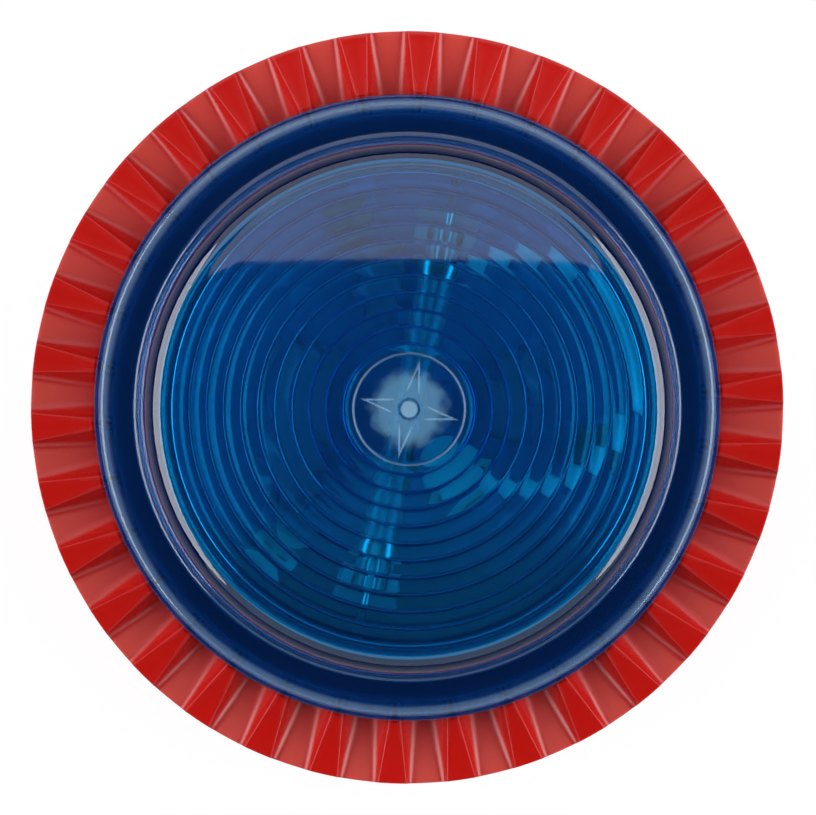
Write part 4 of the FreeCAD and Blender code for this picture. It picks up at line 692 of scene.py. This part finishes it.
# The boss's witness line is painted brighter to the left and right, where the side soft boxes fall: a
# painted highlight.
toward_side_lights = across / reach
boss_line_and_highlight = (from_boss * from_boss).rise(*BOSS_LINE) * (toward_side_lights * toward_side_lights * 0.6 + 0.4)
witness_lines_and_highlight = (star_line * 0.2 + boss_line_and_highlight * 0.27) * outside
# The pale band on the bead's top is a painted highlight.
bead_painted_highlight = reach.rise(*BEAD_INSIDE) * reach.rise(*BEAD_OUTSIDE) * (1.0 - level.above(BEAD_TOP))
haze = reach.rise(*FOOT_EDGE) * 0.05 + level.rise(*LOWER_WALL) * 0.03 + 0.032
etched_and_shaded = blue_lens.node("ShaderNodeAttribute", {"attribute_name": "etched_and_shaded"}, output="Fac")


def skinned(below, share, colour):
    """The plastic with a matt skin over a share of it."""
    dull = {"Base Color": colour, "Roughness": 0.6, "Specular IOR Level": 0.0}
    skin = blue_lens.node("ShaderNodeBsdfPrincipled", {}, dull)
    return blue_lens.node("ShaderNodeMixShader", {}, {0: share, 1: below, 2: skin})


plastic = skinned(blue_lens.shader, haze, (0.005, 0.13, 0.64, 1.0))
# The etched steps' matt skin is the dark blue of the shaded inside behind them: painted shade that dims
# their glints.
plastic = skinned(plastic, etched_and_shaded * 0.6, (0.004, 0.065, 0.25, 1.0))
plastic = skinned(plastic, blush, (0.13, 0.31, 0.46, 1.0))
plastic = skinned(plastic, (witness_lines_and_highlight + gate + bead_painted_highlight * 0.13).within(), (0.44, 0.62, 0.72, 1.0))
blue_lens.feed(blue_lens.output, plastic)
lens_mesh.materials.append(blue_lens.material)
lens = bpy.data.objects.new("lens_moulding", lens_mesh)
bpy.context.scene.collection.objects.link(lens)
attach(lens, "head")
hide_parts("lens")

# Studio
# A pale floor that keeps the shadow and shows white, two oval soft boxes left and right, large weaker panels
# above and far behind, a wide cool one in front, and the camera straight above.
PHOTO_TURN = math.radians(-3.0)
FLOOR_HALF, FLOOR_LEVEL = 4, -0.0004
right = Vector((math.cos(PHOTO_TURN), math.sin(PHOTO_TURN), 0))
upward = Vector((-math.sin(PHOTO_TURN), math.cos(PHOTO_TURN), 0))

floor_plan = [(-FLOOR_HALF, -FLOOR_HALF), (FLOOR_HALF, -FLOOR_HALF)]
floor_plan += [(FLOOR_HALF, FLOOR_HALF), (-FLOOR_HALF, FLOOR_HALF)]
floor_mesh = bpy.data.meshes.new("floor")
floor_mesh.from_pydata([(x, y, FLOOR_LEVEL) for x, y in floor_plan], [], [(0, 1, 2, 3)])
paper = {"Base Color": (0.86, 0.86, 0.86, 1.0), "Roughness": 0.9, "Specular IOR Level": 0.1}
pale_floor = Finish("pale_floor", paper)
path = pale_floor.node("ShaderNodeLightPath").socket.node.outputs
mirrored = Value(pale_floor, path["Is Glossy Ray"])
through = Value(pale_floor, path["Is Transmission Ray"])
seen = (Value(pale_floor, path["Is Camera Ray"]) + through).within()
glow = pale_floor.node("ShaderNodeEmission", {}, {"Color": (1, 1, 1, 1), "Strength": 1.0})
faint = pale_floor.node("ShaderNodeEmission", {}, {"Color": (1, 1, 1, 1), "Strength": 0.2})
bright = pale_floor.node("ShaderNodeMixShader", {}, {0: seen * 0.8, 1: pale_floor.shader, 2: glow})
dimmed = pale_floor.node("ShaderNodeMixShader", {}, {0: mirrored * 0.8, 1: bright, 2: faint})
pale_floor.feed(pale_floor.output, dimmed)
floor_mesh.materials.append(pale_floor.material)
floor = bpy.data.objects.new("floor", floor_mesh)
bpy.context.scene.collection.objects.link(floor)


def standing(place, side, top, back):
    """Where a lamp or camera stands, from its place and the directions of its side, top and back."""
    return Matrix.Translation(place) @ Matrix((side, top, back)).transposed().to_4x4()


def soft_panel(name, centre, width, height, radiance, shape="RECTANGLE", colour=(1, 1, 1)):
    """A flat light with the given radiance, facing the middle of the lens."""
    lamp = bpy.data.lights.new(name, "AREA")
    lamp.shape, lamp.color = shape, colour
    lamp.size, lamp.size_y = width, height
    lamp.energy = math.pi * width * height * radiance * (math.pi / 4 if shape == "ELLIPSE" else 1.0)
    panel = bpy.data.objects.new(name, lamp)
    panel.visible_camera = False
    away = (centre - middle).normalized()
    side = Vector((0, 0, 1)).cross(away).normalized()
    panel.matrix_world = standing(centre, side, away.cross(side), away)
    bpy.context.scene.collection.objects.link(panel)


def aim(degrees, off_vertical, distance):
    """A point in the studio, by its direction in the picture and how far it is from straight up."""
    turn, tilt = math.radians(degrees), math.radians(off_vertical)
    flat = right * math.cos(turn) + upward * math.sin(turn)
    return middle + flat * (distance * math.sin(tilt)) + Vector((0, 0, distance * math.cos(tilt)))


middle = Vector((0, 0, 0.09))
soft_panel("soft_box_right", aim(0, 65, 0.40), 0.66, 0.25, 5.6, "ELLIPSE")
soft_panel("soft_box_left", aim(182, 65, 0.40), 0.66, 0.25, 5.6, "ELLIPSE")
soft_panel("panel_above", aim(90, 55.5, 0.60), 1.40, 0.58, 1.3)
soft_panel("panel_far", aim(90, 22.5, 3.0), 2.2, 0.92, 1.35)
soft_panel("panel_front", aim(274, 66, 0.50), 1.50, 0.40, 0.95, colour=(0.80, 1.05, 1.15))

# The room round the studio is white to the camera, and dim to everything that it lights or is mirrored in.
ROOM_LIGHT, LESS_WHEN_MIRRORED = 0.06, -0.045
world = bpy.data.worlds.new("studio")
world.use_nodes = True
backdrop = world.node_tree.nodes["Background"]
backdrop.inputs["Color"].default_value = (1, 1, 1, 1)
ray = world.node_tree.nodes.new("ShaderNodeLightPath")
less = world.node_tree.nodes.new("ShaderNodeMath")
less.operation = "MULTIPLY_ADD"
less.inputs[1].default_value, less.inputs[2].default_value = LESS_WHEN_MIRRORED, ROOM_LIGHT
dim = world.node_tree.nodes.new("ShaderNodeMath")
dim.operation = "MAXIMUM"
world.node_tree.links.new(ray.outputs["Is Glossy Ray"], less.inputs[0])
world.node_tree.links.new(ray.outputs["Is Camera Ray"], dim.inputs[0])
world.node_tree.links.new(less.outputs[0], dim.inputs[1])
world.node_tree.links.new(dim.outputs[0], backdrop.inputs["Strength"])
bpy.context.scene.world = world
bpy.context.scene.view_settings.view_transform = "Standard"

CAMERA_HEIGHT, CAMERA_OFFSET = 0.9308, 0.007
camera_data = bpy.data.cameras.new("camera")
camera_data.lens = 309.0
camera_data.sensor_width = 36.0
camera_data.shift_x = 0.0009
camera_data.clip_start, camera_data.clip_end = 0.01, 20.0
camera = bpy.data.objects.new("camera", camera_data)
rim_middle = Vector((0, 0, 0.0692))
stand = rim_middle + (upward - right) * CAMERA_OFFSET + Vector((0, 0, CAMERA_HEIGHT))
back = (stand - rim_middle).normalized()
top_edge = (upward - back * upward.dot(back)).normalized()
camera.matrix_world = standing(stand, top_edge.cross(back), top_edge, back)
bpy.context.scene.collection.objects.link(camera)
bpy.context.scene.camera = camera
